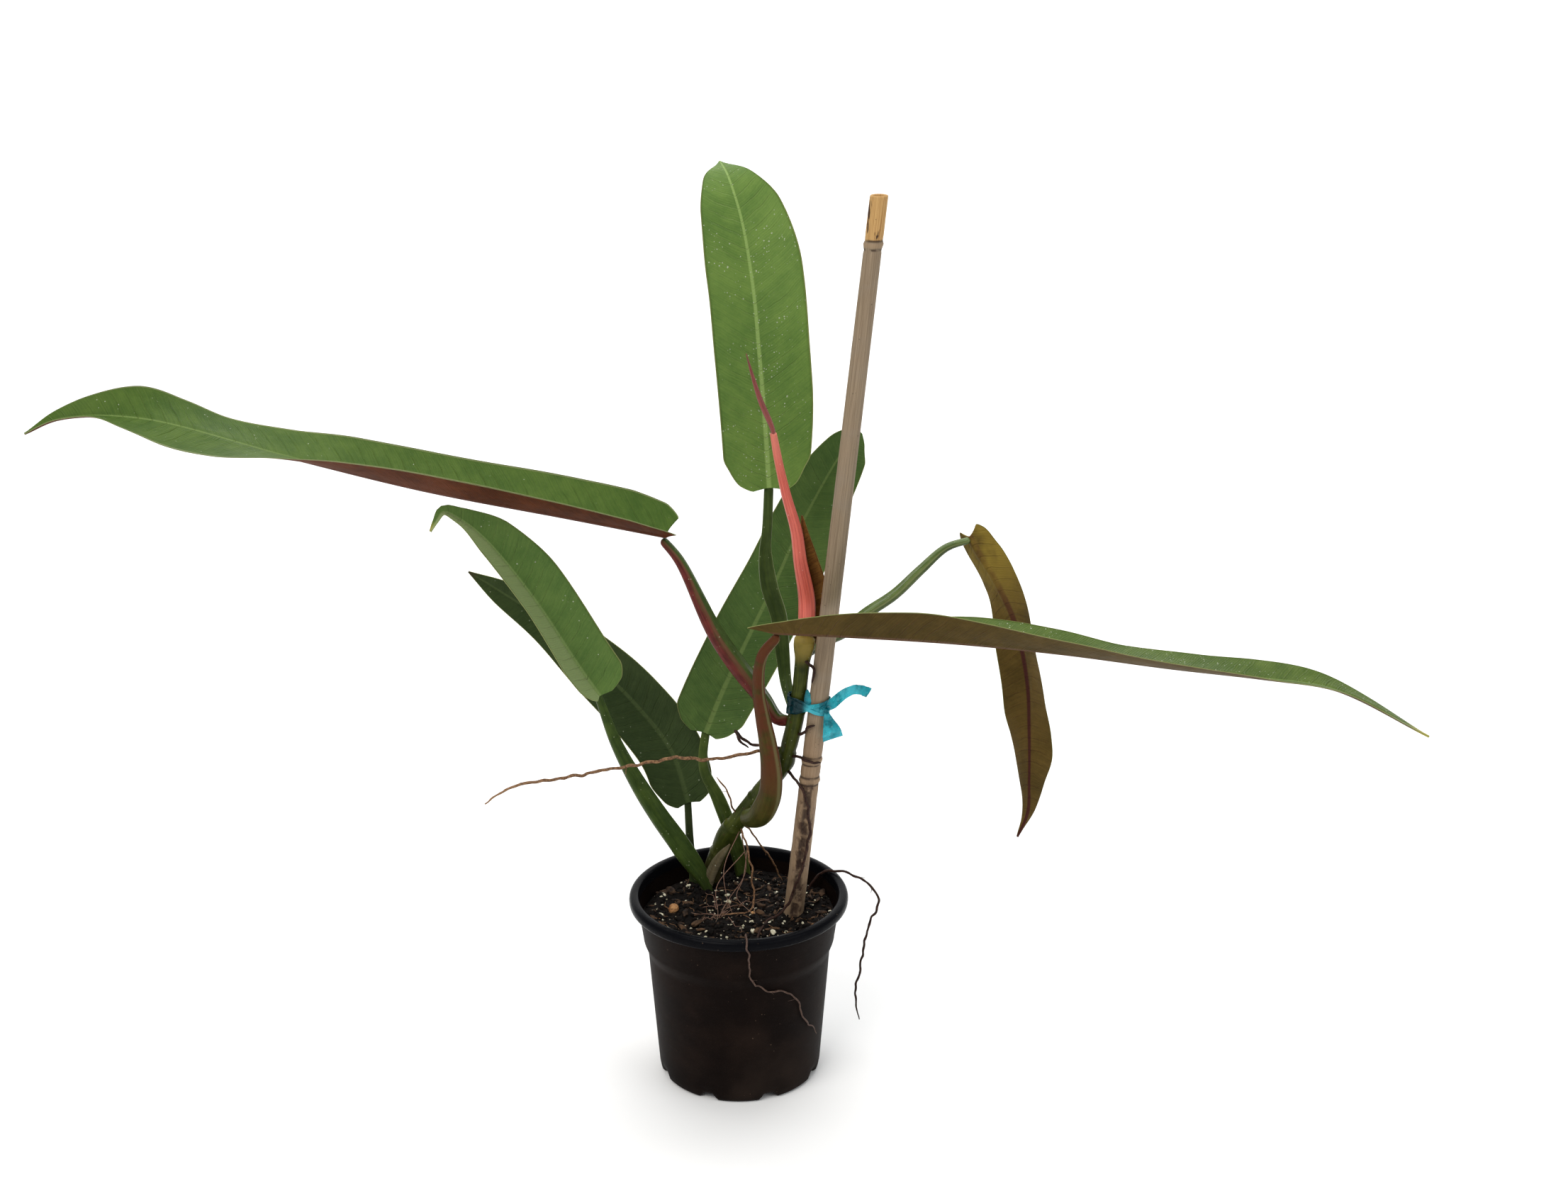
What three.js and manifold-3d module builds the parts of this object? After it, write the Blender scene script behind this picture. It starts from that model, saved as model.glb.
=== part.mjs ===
// A young climbing philodendron in a round nursery pot, tied to a bamboo cane.
// Millimetres, +Z up. The origin is the centre of the pot's base; the front of the pot faces -Y.
import * as THREE from 'three';
import { mergeVertices } from 'three/addons/utils/BufferGeometryUtils.js';
import Module from 'manifold-3d';

const wasm = await Module();
wasm.setup();

// ---------------------------------------------------------------- driving dimensions
const CLEARANCE = 0.3; // kept between two pieces that touch
const FACET_ROOM = 0.3; // more room where two round pieces have flat facets

const POT_HEIGHT = 106;
const RIM_RADIUS = 60; // outside of the rolled rim
const RIM_WIDTH = 5.5; // from the outside of the rim to the mouth
const RIM_DEPTH = 6; // height of the rolled rim
const RIM_TOP_ROUNDING = 1.8;
const RIM_FOOT_ROUNDING = 1.2;
const COLLAR_DEPTH = 20; // band under the rim
const COLLAR_TAPER = 3; // the band is this much narrower at its foot
const SHOULDER = 2.4; // step from the band in to the body
const SHOULDER_DEPTH = 6;
const BASE_RADIUS = 44.8;
const HEEL = 5; // height of the rounded lower corner
const HEEL_INSET = 3.4;
const POT_WALL = 1.4;
const DRAIN_HOLES = 8;
const DRAIN_RADIUS = 3.6;

const SOIL_DROP = 13; // from the top of the rim down to the potting mix
const SOIL_ROUGHNESS = 1.6; // height of the lumps in its surface
const SOIL_FACET = 9; // about how wide its flat facets are
const SOIL_COARSENESS = 0.5; // room for them
const SOIL_EDGE = 4; // height of the plain band round its edge, under the lumps

const CANE_HEIGHT = 400; // above the potting mix
const CANE_RADIUS_FOOT = 5.5;
const CANE_RADIUS_TOP = 4.4;
const CANE_RING = 0.5; // how far its joints stand out
const CANE_RING_HALF = 0.8; // half the height of such a joint
const CANE_RING_BLEND = 3; // from the middle of a joint to where the cane is plain again
const CANE_BORE = 2.7; // radius of the hollow at the cut top
const CANE_BORE_DEPTH = 28;
const CANE_FOOT_GAP = 12; // from the pot's floor up to the foot of the cane

const STEM_RADIUS = 4.7; // of the stem between its joints
const BLADE_THICKNESS = 0.9;
const BLADE_KEEL = 1.1; // depth of the midrib under the blade
const BLADE_WIDTH = 25; // half width of the broadest leaves
const TAPE_THICKNESS = 0.8;
const TAPE_WIDTH = 7;
const ROOT_THICK = 1.1; // radius of the long aerial root
const ROOT_THIN = 0.8; // radius of the others
const ROOTED_DEPTH = 16; // how far stems and leaf stalks go down into the potting mix

// ---------------------------------------------------------------- sizes that follow from them
const MOUTH_RADIUS = RIM_RADIUS - RIM_WIDTH;
const WALL_TOP_RADIUS = MOUTH_RADIUS + 1;
const COLLAR_FOOT_RADIUS = WALL_TOP_RADIUS - COLLAR_TAPER;
const BODY_TOP_RADIUS = COLLAR_FOOT_RADIUS - SHOULDER;
const WALL_TOP = POT_HEIGHT - RIM_DEPTH;
const COLLAR_FOOT = WALL_TOP - COLLAR_DEPTH;
const BODY_TOP = COLLAR_FOOT - SHOULDER_DEPTH;
const SOIL_LEVEL = POT_HEIGHT - SOIL_DROP;
const SOIL_RADIUS = wallRadius(SOIL_LEVEL) - POT_WALL;

// Outside radius of the pot's wall below the rim.
function wallRadius(height) {
  const { lerp, clamp } = THREE.MathUtils;
  const share = (low, high) => clamp((height - low) / (high - low), 0, 1);
  if (height > COLLAR_FOOT) return lerp(COLLAR_FOOT_RADIUS, WALL_TOP_RADIUS, share(COLLAR_FOOT, WALL_TOP));
  if (height > BODY_TOP) return lerp(BODY_TOP_RADIUS, COLLAR_FOOT_RADIUS, share(BODY_TOP, COLLAR_FOOT));
  return lerp(BASE_RADIUS, BODY_TOP_RADIUS, share(HEEL, BODY_TOP));
}

const deg = THREE.MathUtils.degToRad;
const point = (x, y, z) => new THREE.Vector3(x, y, z);
const points = (list) => list.map(([x, y, z]) => point(x, y, z));

// ---------------------------------------------------------------- materials
function material(color, roughness, options = {}) {
  return new THREE.MeshStandardMaterial({ color, roughness, metalness: 0, ...options });
}
const potPlastic = material('#2b2a2c', 0.55);
const peat = material('#2a2220', 0.95);
const bamboo = material('#a08a70', 0.8);
const stemGreen = material('#6f9a3c', 0.45);
const leafGreen = material('#3f7d2c', 0.4);
const leafDark = material('#2f5726', 0.5);
const leafOlive = material('#5a4a1e', 0.5);
const sheathRed = material('#c8604e', 0.4);
const spikeRed = material('#5e1f22', 0.45);
const driedSheath = material('#8a6a3a', 0.85);
const tape = material('#1f8f86', 0.3, { transparent: true, opacity: 0.75 });
const rootPink = material('#a8695c', 0.7);
const rootBrown = material('#5a2f28', 0.75);
const perlite = material('#e8e2d4', 0.9);
const clayPebble = material('#c58a55', 0.85);
const bark = material('#5a4232', 0.9);

// ---------------------------------------------------------------- shaping helpers
function weld(geometry) {
  geometry.deleteAttribute('normal');
  geometry.deleteAttribute('uv');
  return mergeVertices(geometry);
}

// Moves every vertex of a unit shape to where place(x, y, z) says.
function bend(geometry, place) {
  const bent = weld(geometry);
  const position = bent.attributes.position;
  for (let i = 0; i < position.count; i += 1) {
    const moved = place(position.getX(i), position.getY(i), position.getZ(i));
    position.setXYZ(i, moved.x, moved.y, moved.z);
  }
  return bent;
}

function toSolid(geometry) {
  return new wasm.Manifold(new wasm.Mesh({
    numProp: 3,
    vertProperties: new Float32Array(geometry.attributes.position.array),
    triVerts: new Uint32Array(geometry.index.array),
  }));
}

function fromSolid(solid) {
  const mesh = solid.getMesh();
  const geometry = new THREE.BufferGeometry();
  geometry.setAttribute('position', new THREE.BufferAttribute(mesh.vertProperties, 3));
  geometry.setIndex(new THREE.BufferAttribute(mesh.triVerts, 1));
  return geometry;
}

function cutAway(geometry, cutters) {
  const body = cutters.reduce((left, cutter) => left.subtract(toSolid(cutter)), toSolid(geometry));
  return fromSolid(body);
}

// A smooth value along a piece, from stops of [share of the length, value, value...].
function along(stops) {
  const width = stops[0].length - 1;
  const shares = stops.map((stop) => stop[0]);
  const values = stops.flatMap((stop) => stop.slice(1));
  const track = new THREE.LinearInterpolant(shares, values, width);
  return (share) => Array.from(track.evaluate(share));
}

function smoothCurve(route) {
  return new THREE.CatmullRomCurve3(route, false, 'centripetal');
}

// The place, direction, upper side and sideways direction at a share of a curve's length.
function frameOn(curve, share, face) {
  const ahead = curve.getTangentAt(share);
  const up = face.clone().addScaledVector(ahead, -face.dot(ahead)).normalize();
  return { at: curve.getPointAt(share), ahead, up, side: ahead.clone().cross(up) };
}

// A profile of [radius, height] pairs turned about Z.
function turned(profile, segments) {
  const outline = profile.map(([radius, height]) => new THREE.Vector2(radius, height));
  return weld(new THREE.LatheGeometry(outline, segments).rotateX(Math.PI / 2));
}

// A tapering stalk along a route. The channel is how deeply its upper side is hollowed.
function stalk({ route, radius, face, channel = 0, sides = 10, steps = 16, grow = 0 }) {
  const curve = smoothCurve(route);
  const radiusAt = along(radius);
  return bend(new THREE.CylinderGeometry(1, 1, 1, sides, steps), (x, y, z) => {
    const { at, up, side } = frameOn(curve, y + 0.5, face);
    const size = radiusAt(y + 0.5)[0] + grow;
    const rise = z > 0 ? z * (1 - channel * (1 - x * x)) : z;
    return at.addScaledVector(side, x * size).addScaledVector(up, rise * size);
  });
}

// A leaf blade on its rib. The half widths and the folds are for its left and its right half, seen
// from the leaf's foot with the upper side up; a fold lifts that half towards the upper side.
function blade({ rib, widths, folds, faces, lobe = 1, lobeReach = 0.12, steps = 14, curl = 12 }) {
  const curve = smoothCurve(rib);
  const widthAt = along(widths);
  const foldAt = along(folds);
  const faceAt = along(faces);
  return bend(new THREE.BoxGeometry(1, 1, 1, 6, steps, 1), (x, y, z) => {
    const share = y + 0.5 - 0.11 * Math.sin(2 * Math.PI * (y + 0.5)); // rows lie closer at both ends
    const { at, ahead, up, side } = frameOn(curve, share, point(...faceAt(share)));
    const half = x < 0 ? 0 : 1;
    const reach = Math.abs(2 * x);
    const fold = foldAt(share)[half];
    const lean = deg(fold + (curl * reach) / 2);
    const tilt = deg(fold + curl * reach) * Math.sign(x);
    const span = widthAt(share)[half] * reach;
    const back = lobe * Math.max(0, 1 - share / lobeReach) * reach ** 1.5;
    const depth = z > 0 ? 0.5 : -0.5;
    const keel = z > 0 ? 0 : BLADE_KEEL * Math.max(0, 1 - 3 * reach) * (1 - 0.8 * share);
    const skin = depth * BLADE_THICKNESS - keel;
    return at
      .addScaledVector(side, Math.sign(x) * span * Math.cos(lean) - Math.sin(tilt) * skin)
      .addScaledVector(up, span * Math.sin(lean) + Math.cos(tilt) * skin)
      .addScaledVector(ahead, -back);
  });
}

// A round tube of constant thickness, for the thin aerial roots.
function rootTube(route, radius, steps) {
  const ring = new THREE.Shape().absarc(0, 0, radius, 0, 2 * Math.PI);
  const options = { extrudePath: smoothCurve(route), steps, bevelEnabled: false, curveSegments: 3 };
  return weld(new THREE.ExtrudeGeometry(ring, options));
}

// ---------------------------------------------------------------- nursery pot
function nurseryPot() {
  const outer = [
    [0, 0],
    [BASE_RADIUS - HEEL_INSET, 0],
    [BASE_RADIUS - HEEL_INSET * 0.3, HEEL * 0.3],
    [BASE_RADIUS, HEEL],
    [BODY_TOP_RADIUS, BODY_TOP],
    [COLLAR_FOOT_RADIUS, COLLAR_FOOT],
    [WALL_TOP_RADIUS, WALL_TOP + 0.4],
    [RIM_RADIUS - RIM_FOOT_ROUNDING, WALL_TOP],
    [RIM_RADIUS, WALL_TOP + RIM_FOOT_ROUNDING],
    [RIM_RADIUS, POT_HEIGHT - RIM_TOP_ROUNDING],
    [RIM_RADIUS - RIM_TOP_ROUNDING, POT_HEIGHT],
    [MOUTH_RADIUS + 1, POT_HEIGHT],
    [MOUTH_RADIUS, POT_HEIGHT - 1],
  ];
  const inner = [
    [WALL_TOP_RADIUS - POT_WALL, WALL_TOP - 1],
    [COLLAR_FOOT_RADIUS - POT_WALL, COLLAR_FOOT + 0.5],
    [BODY_TOP_RADIUS - POT_WALL, BODY_TOP + 0.5],
    [BASE_RADIUS - POT_WALL, HEEL],
    [BASE_RADIUS - HEEL_INSET - POT_WALL, POT_WALL],
    [0, POT_WALL],
  ];
  const shell = turned([...outer, ...inner], 40);
  const drains = [];
  for (let i = 0; i < DRAIN_HOLES; i += 1) {
    const drain = new THREE.CylinderGeometry(DRAIN_RADIUS, DRAIN_RADIUS, 3 * HEEL, 10);
    drain.rotateZ(Math.PI / 2);
    drain.translate(BASE_RADIUS, 0, 0);
    drain.rotateZ((2 * Math.PI * (i + 0.5)) / DRAIN_HOLES);
    drains.push(weld(drain));
  }
  return cutAway(shell, drains);
}

// ---------------------------------------------------------------- potting mix
// Height of the lumpy surface over the soil level.
function soilRise(x, y) {
  const lumps = Math.sin(x * 0.21 + 1) * Math.cos(y * 0.17) + 0.6 * Math.sin(x * 0.09 - y * 0.13);
  return SOIL_ROUGHNESS * lumps;
}

function pottingMix(rooted) {
  const insideWall = (height) => wallRadius(height) - POT_WALL - CLEARANCE - FACET_ROOM;
  const profile = [
    [0, POT_WALL + CLEARANCE],
    [insideWall(HEEL) - HEEL_INSET, POT_WALL + CLEARANCE],
    [insideWall(HEEL), HEEL + CLEARANCE],
    [insideWall(BODY_TOP), BODY_TOP],
    [insideWall(COLLAR_FOOT), COLLAR_FOOT],
    [insideWall(SOIL_LEVEL - SOIL_EDGE), SOIL_LEVEL - SOIL_EDGE],
  ];
  const rings = Math.round(SOIL_RADIUS / SOIL_FACET);
  for (let ring = rings; ring >= 0; ring -= 1) {
    profile.push([(insideWall(SOIL_LEVEL) * ring) / rings, SOIL_LEVEL]);
  }
  const segments = Math.round((2 * Math.PI * SOIL_RADIUS) / SOIL_FACET);
  const mix = bend(turned(profile, segments), (x, y, z) => {
    const onTop = z > SOIL_LEVEL - 1;
    return point(x, y, onTop ? z + soilRise(x, y) : z);
  });
  return cutAway(mix, rooted);
}

// Places below are above the soil level; this puts a piece's geometry on the potting mix.
const planted = (geometry) => geometry.translate(0, 0, SOIL_LEVEL);

// A place in the potting mix by its bearing and its share of the way out to the wall.
function inPot(bearing, share, height) {
  const radius = share * SOIL_RADIUS;
  return point(radius * Math.cos(deg(bearing)), radius * Math.sin(deg(bearing)), height);
}

// A place for a thin root that lies on the potting mix.
function onSoil(bearing, share) {
  const { x, y } = inPot(bearing, share, 0);
  return point(x, y, soilRise(x, y) + ROOT_THIN + CLEARANCE + SOIL_COARSENESS);
}

// ---------------------------------------------------------------- bamboo cane
const CANE_AT_SOIL = point(30, -1, 0);
const CANE_LEAN = point(0.1, -0.098, 1);
const CANE_JOINTS = [62, 95, 376]; // heights of its raised rings
const caneAt = (height) => CANE_AT_SOIL.clone().addScaledVector(CANE_LEAN, height);
function caneRadius(height) {
  return THREE.MathUtils.lerp(CANE_RADIUS_FOOT, CANE_RADIUS_TOP, height / CANE_HEIGHT);
}

// A place beside the cane: bearing 0 is +X, 90 is +Y, and the gap is from the cane's surface.
function besideCane(height, bearing, gap) {
  const radius = caneRadius(height) + gap;
  return caneAt(height).add(point(radius * Math.cos(deg(bearing)), radius * Math.sin(deg(bearing)), 0));
}

function cane(grow = 0) {
  const foot = POT_WALL + CANE_FOOT_GAP - SOIL_LEVEL - grow;
  const profile = [[0, foot], [CANE_RADIUS_FOOT + grow, foot]];
  for (const joint of CANE_JOINTS) {
    const radius = caneRadius(joint) + grow;
    profile.push([radius, joint - CANE_RING_BLEND]);
    profile.push([radius + CANE_RING, joint - CANE_RING_HALF]);
    profile.push([radius + CANE_RING, joint + CANE_RING_HALF]);
    profile.push([radius, joint + CANE_RING_BLEND]);
  }
  profile.push([CANE_RADIUS_TOP + grow, CANE_HEIGHT]);
  profile.push([CANE_BORE, CANE_HEIGHT], [CANE_BORE, CANE_HEIGHT - CANE_BORE_DEPTH]);
  profile.push([0, CANE_HEIGHT - CANE_BORE_DEPTH]);
  return bend(turned(profile, 14), (x, y, z) => caneAt(z).add(point(x, y, 0)));
}

// ---------------------------------------------------------------- main stem
const TIE_HEIGHT = 128;
const TIE_BEARING = 160; // from the cane to the stem
const STEM_TO_CANE = STEM_RADIUS + 1.5; // from the cane's surface to the middle of the tied stem
const STEM_FOOT = inPot(116, 0.72, -ROOTED_DEPTH);
const stemRoute = [
  STEM_FOOT,
  inPot(116, 0.72, 3),
  point(-8, 25, 33),
  point(0, 20, 47),
  point(12, 12, 67),
  besideCane(88, 150, 12),
  besideCane(106, 155, STEM_TO_CANE + 2),
  besideCane(124, TIE_BEARING, STEM_TO_CANE),
  besideCane(144, 162, STEM_TO_CANE),
  besideCane(160, 164, STEM_TO_CANE),
];
const stemRadius = [
  [0, STEM_RADIUS + 0.8],
  [0.2, STEM_RADIUS + 0.3],
  [0.29, STEM_RADIUS + 0.9],
  [0.36, STEM_RADIUS],
  [0.6, STEM_RADIUS],
  [0.63, STEM_RADIUS + 0.9],
  [0.67, STEM_RADIUS - 0.2],
  [0.8, STEM_RADIUS - 0.3],
  [0.88, STEM_RADIUS - 1],
  [0.96, STEM_RADIUS - 1],
  [1, STEM_RADIUS + 0.2],
];

const mainStem = (grow = 0) => planted(stalk({
  route: stemRoute, radius: stemRadius, face: point(0, -1, 0.2), steps: 26, grow,
}));

// A place beside the tied stem, with its bearing as for the cane and the gap from the stem's surface.
function besideStem(height, bearing, gap) {
  const radius = STEM_RADIUS + gap;
  const out = point(radius * Math.cos(deg(bearing)), radius * Math.sin(deg(bearing)), 0);
  return besideCane(height, TIE_BEARING, STEM_TO_CANE).add(out);
}

// ---------------------------------------------------------------- leaf stalks
const STALKS = {
  left_long: {
    route: points([[29, -5, 117], [22, -3, 117], [15, -2, 127], [0, -4, 149], [-11, -5, 167],
      [-29, -6, 206], [-35, -7, 218.4]]),
    radius: [[0, 3.6], [0.12, 4.6], [0.5, 3.8], [1, 2.6]],
    face: point(0.8, 0, 0.6),
    channel: 0.7,
  },
  upright: {
    route: [besideStem(121, 106, 0.5), besideStem(132, 110, 14.5), ...points([[24, 14, 148],
      [22, 16, 167], [17, 17, 184], [15, 18, 202], [16, 19, 217], [17, 20.4, 236.4]])],
    radius: [[0, 2.6], [0.15, 3.2], [0.35, 4.2], [0.55, 4.6], [0.8, 2.7], [1, 2.6]],
    face: point(0, -1, 0.1),
    channel: 0.8,
  },
  back_tall: {
    route: [inPot(88, 0.82, -ROOTED_DEPTH), inPot(88, 0.82, 2), inPot(92.7, 0.793, 19), ...points([
      [-12, 37, 52], [-19, 35, 68.5], [-20, 35, 78.5], [-18.5, 36.6, 90]])],
    radius: [[0, 4.4], [0.6, 4.2], [1, 2.6]],
    face: point(0.3, -1, 0),
    channel: 0.7,
  },
  left_upper: {
    route: [inPot(129, 0.52, -ROOTED_DEPTH), inPot(129, 0.53, 3), ...points([[-32, 20, 30],
      [-44, 18, 50], [-55, 15, 71], [-66, 9, 98], [-73.4, 3, 125.8]])],
    radius: [[0, 3.8], [0.3, 5.8], [0.5, 5.2], [0.75, 3.6], [1, 2]],
    face: point(0.5, -0.8, 0.3),
    channel: 0.5,
  },
  left_lower: {
    route: [inPot(127, 0.8, -ROOTED_DEPTH), inPot(127, 0.82, 3), inPot(126.7, 0.85, SOIL_DROP),
      point(-28, 38, 24), point(-28.8, 42.8, 45.8)],
    radius: [[0, 2.6], [1, 2]],
    face: point(0.3, -1, 0.2),
    channel: 0.4,
  },
  right_long: {
    route: points([[4, 14, 50], [12, -2, 60], [18, -11, 76], [19, -14, 90], [17, -17, 109],
      [14, -21, 127], [12, -27, 145], [14, -34, 164], [19.6, -39.6, 178.1]]),
    radius: [[0, 4.4], [0.1, 5.6], [0.3, 6.1], [0.45, 5.2], [0.7, 3.6], [1, 2.2]],
    face: point(0.9, 0.3, 0.2),
    channel: 0.6,
  },
  right_drooping: {
    route: points([[37, -10, 156], [45, 3, 158], [56, 9, 161], [68, 13, 170], [83, 15, 180],
      [97, 15, 194], [110, 15, 206], [120.8, 14, 211.8]]),
    radius: [[0, 2.6], [0.15, 3.6], [0.6, 3.2], [1, 1.9]],
    face: point(-0.4, -0.2, 1),
    channel: 0.5,
  },
};
const ROOTED_STALKS = ['back_tall', 'left_upper', 'left_lower'];

// ---------------------------------------------------------------- leaf blades
const BLADES = {
  left_long: {
    rib: points([[-36.4, -7, 219.4], [-86, -8, 230], [-158, -10, 245], [-222, -12, 262],
      [-297, -16, 284], [-337, -20, 285], [-355, -22, 278]]),
    widths: [[0, 9, 9], [0.02, 15, 15], [0.07, 21, 21], [0.3, BLADE_WIDTH, BLADE_WIDTH],
      [0.7, BLADE_WIDTH, BLADE_WIDTH], [0.82, 20, 20], [0.9, 11, 11], [0.95, 5, 5], [1, 0.7, 0.7]],
    folds: [[0, 24, 40], [0.35, 30, 30], [0.5, 22, 24], [0.6, 7, 10], [0.7, -13, 2],
      [0.77, -18, 14], [0.84, -8, 38], [0.9, 8, 44], [1, 5, 30]],
    faces: [[0, 0, 0, 1], [1, 0, 0, 1]],
    lobe: 3,
    lobeReach: 0.05,
    steps: 20,
  },
  upright: {
    rib: points([[17, 20.6, 237], [15, 24, 270], [12, 28, 307], [9, 35, 339], [3, 46, 373],
      [-4, 60, 393], [-9, 80, 398]]),
    widths: [[0, 11, 11], [0.025, 17, 16], [0.06, 21, 20], [0.1, 24, 24],
      [0.3, BLADE_WIDTH - 1, BLADE_WIDTH + 2], [0.6, BLADE_WIDTH - 1, BLADE_WIDTH + 2],
      [0.78, 21, 22], [0.88, 14, 13], [0.96, 4, 4], [1, 0.7, 0.7]],
    folds: [[0, 14, 14], [0.5, 8, 8], [1, 0, 0]],
    faces: [[0, 0, -1, 0.3], [1, 0, -0.4, 1]],
  },
  back_tall: {
    rib: points([[-18.6, 37, 91.2], [-9, 42, 114], [7, 46, 148], [21, 50, 177], [34, 54, 206],
      [57, 62, 246], [66, 66, 255]]),
    widths: [[0, 10, 8], [0.025, 17, 13], [0.07, 22, 18], [0.3, 21.5, 21.5], [0.6, 18, 22],
      [0.8, 16, 18], [0.93, 11, 14], [0.98, 6, 7], [1, 2, 2]],
    folds: [[0, 6, 6], [1, 2, 2]],
    faces: [[0, 0.1, -1, 0.2], [1, 0.1, -1, 0.2]],
  },
  left_upper: {
    rib: points([[-73.6, 3, 126.6], [-83, 2, 142], [-107, -4, 186], [-130, -8, 219],
      [-142, -10, 230], [-149, -12, 234], [-153, -13, 229], [-156, -14, 224]]),
    widths: [[0, 4, 9], [0.03, 8, 17], [0.08, 12, 20.5], [0.2, 14, 20.5], [0.5, 14, 20.5],
      [0.72, 10, 15], [0.84, 4, 7], [0.92, 2.2, 3], [1, 0.7, 0.7]],
    folds: [[0, 50, 4], [0.5, 60, 2], [0.85, 40, 2], [1, 20, 0]],
    faces: [[0, 0, -1, 0.4], [1, 0, -1, 0.4]],
  },
  left_lower: {
    rib: points([[-28.8, 43, 46.4], [-38, 45, 77], [-59, 45, 107], [-80, 44, 130],
      [-105, 42, 155], [-127, 37, 173], [-144, 31, 187]]),
    widths: [[0, 8, 8], [0.03, 13, 14], [0.1, 18, 18], [0.25, 18.5, 18.5], [0.45, 17.5, 17.5],
      [0.7, 12, 12], [0.88, 7, 7], [1, 0.7, 0.7]],
    folds: [[0, 6, 6], [1, 6, 6]],
    faces: [[0, 0, -1, 0.3], [1, 0, -1, 0.3]],
  },
  right_long: {
    rib: points([[20.6, -40.4, 179.2], [58, -48, 180], [112, -50, 177], [165, -52, 172],
      [219, -54, 165], [265, -56, 160], [301, -58, 155], [351, -60, 130]]),
    widths: [[0, 8, 8], [0.06, 18, 18], [0.3, 21, 21], [0.6, 19, 19], [0.8, 13, 13],
      [0.93, 6, 6], [1, 0.7, 0.7]],
    folds: [[0, 5, 46], [0.2, 6, 54], [0.31, 15, 44], [0.42, 9, 31], [0.53, -2, 23],
      [0.64, 1, 18], [0.76, 11, 13], [0.9, 0, 8], [1, 0, 5]],
    faces: [[0, 0, 0, 1], [1, 0, 0, 1]],
    lobe: 9,
    lobeReach: 0.08,
    steps: 20,
  },
  right_drooping: {
    rib: points([[122.8, 14, 212], [127, 12, 204], [137, 8, 188], [147, 6, 166], [154, 4, 135],
      [156, 3, 107], [157, 3, 78], [157, 3, 59], [152, 4, 44]]),
    widths: [[0, 6, 6], [0.04, 9, 10], [0.1, 12, 13], [0.4, 15, 15], [0.72, 14, 14],
      [0.83, 10, 10], [0.9, 5, 5], [0.95, 2, 2], [1, 0.7, 0.7]],
    folds: [[0, 44, 39], [0.18, 44, 46], [0.4, 18, 58], [0.57, 24, 44], [0.68, 46, 23],
      [0.75, 56, 14], [0.85, 60, 26], [1, 15, 15]],
    faces: [[0, 0, 1, 0.3], [1, 0, 1, 0.1]],
    lobe: 5,
  },
};

// ---------------------------------------------------------------- growing tip
const STEM_TOP = stemRoute[stemRoute.length - 1];
const cataphyllRoute = [
  STEM_TOP.clone().addScaledVector(CANE_LEAN, CLEARANCE + 0.1),
  ...points([[36, -15, 186], [33, -16, 209], [31, -16, 225], [26, -17, 244], [22, -17, 262],
    [19.2, -18, 278]]),
];
const spikeRoute = points([[19.1, -18, 278.7], [13, -18, 294], [9, -18, 307], [6, -18, 318]]);

const cataphyll = (grow = 0) => stalk({
  route: cataphyllRoute,
  radius: [[0, 3.6], [0.12, 4], [0.4, 3], [0.75, 2.1], [1, 1.5]],
  face: point(0.3, -1, 0),
  steps: 12,
  grow,
});

const newLeafSpike = () => stalk({
  route: spikeRoute,
  radius: [[0, 1.5], [0.35, 2], [0.8, 1.2], [1, 0.5]],
  face: point(0.3, -1, 0),
  sides: 8,
  steps: 6,
});

const driedFlap = () => blade({
  rib: points([[38.4, -9.4, 161], [39.6, -9.4, 180], [37, -10.5, 200], [35, -11, 218], [34, -12, 232]]),
  widths: [[0, 3, 3], [0.3, 3, 6], [0.5, 3, 9], [0.65, 3, 7], [1, 0.7, 0.7]],
  folds: [[0, 5, 5], [1, 5, 5]],
  faces: [[0, 0, -1, 0], [1, 0, -1, 0]],
  lobe: 0,
  steps: 8,
});

// ---------------------------------------------------------------- tape that ties stem to cane
const TIE_SLACK = 0.9;
const TAIL_CURL_ROOM = 1.4; // the loose ends curl in towards the strap

// A closed strap round the stem and the cane, seen along the cane.
function tieLoop() {
  const stem = besideCane(TIE_HEIGHT, TIE_BEARING, STEM_TO_CANE);
  const toCane = caneAt(TIE_HEIGHT).sub(stem).setZ(0);
  const reach = toCane.length();
  const stemLoop = STEM_RADIUS + TIE_SLACK;
  const caneLoop = caneRadius(TIE_HEIGHT) + TIE_SLACK;
  const tangent = Math.acos((stemLoop - caneLoop) / reach);
  const loop = (outline, grow) => {
    outline.absarc(0, 0, stemLoop + grow, tangent, 2 * Math.PI - tangent, false);
    outline.absarc(reach, 0, caneLoop + grow, -tangent, tangent, false);
    return outline;
  };
  const strap = loop(new THREE.Shape(), TAPE_THICKNESS);
  strap.holes.push(loop(new THREE.Path(), 0));
  const options = { depth: TAPE_WIDTH, bevelEnabled: false, curveSegments: 8 };
  const band = weld(new THREE.ExtrudeGeometry(strap, options));
  band.rotateZ(Math.atan2(toCane.y, toCane.x));
  return bend(band, (x, y, z) => {
    const lean = CANE_LEAN.clone().multiplyScalar(z - TAPE_WIDTH / 2);
    return point(x, y, 0).add(stem).add(lean);
  });
}

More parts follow.
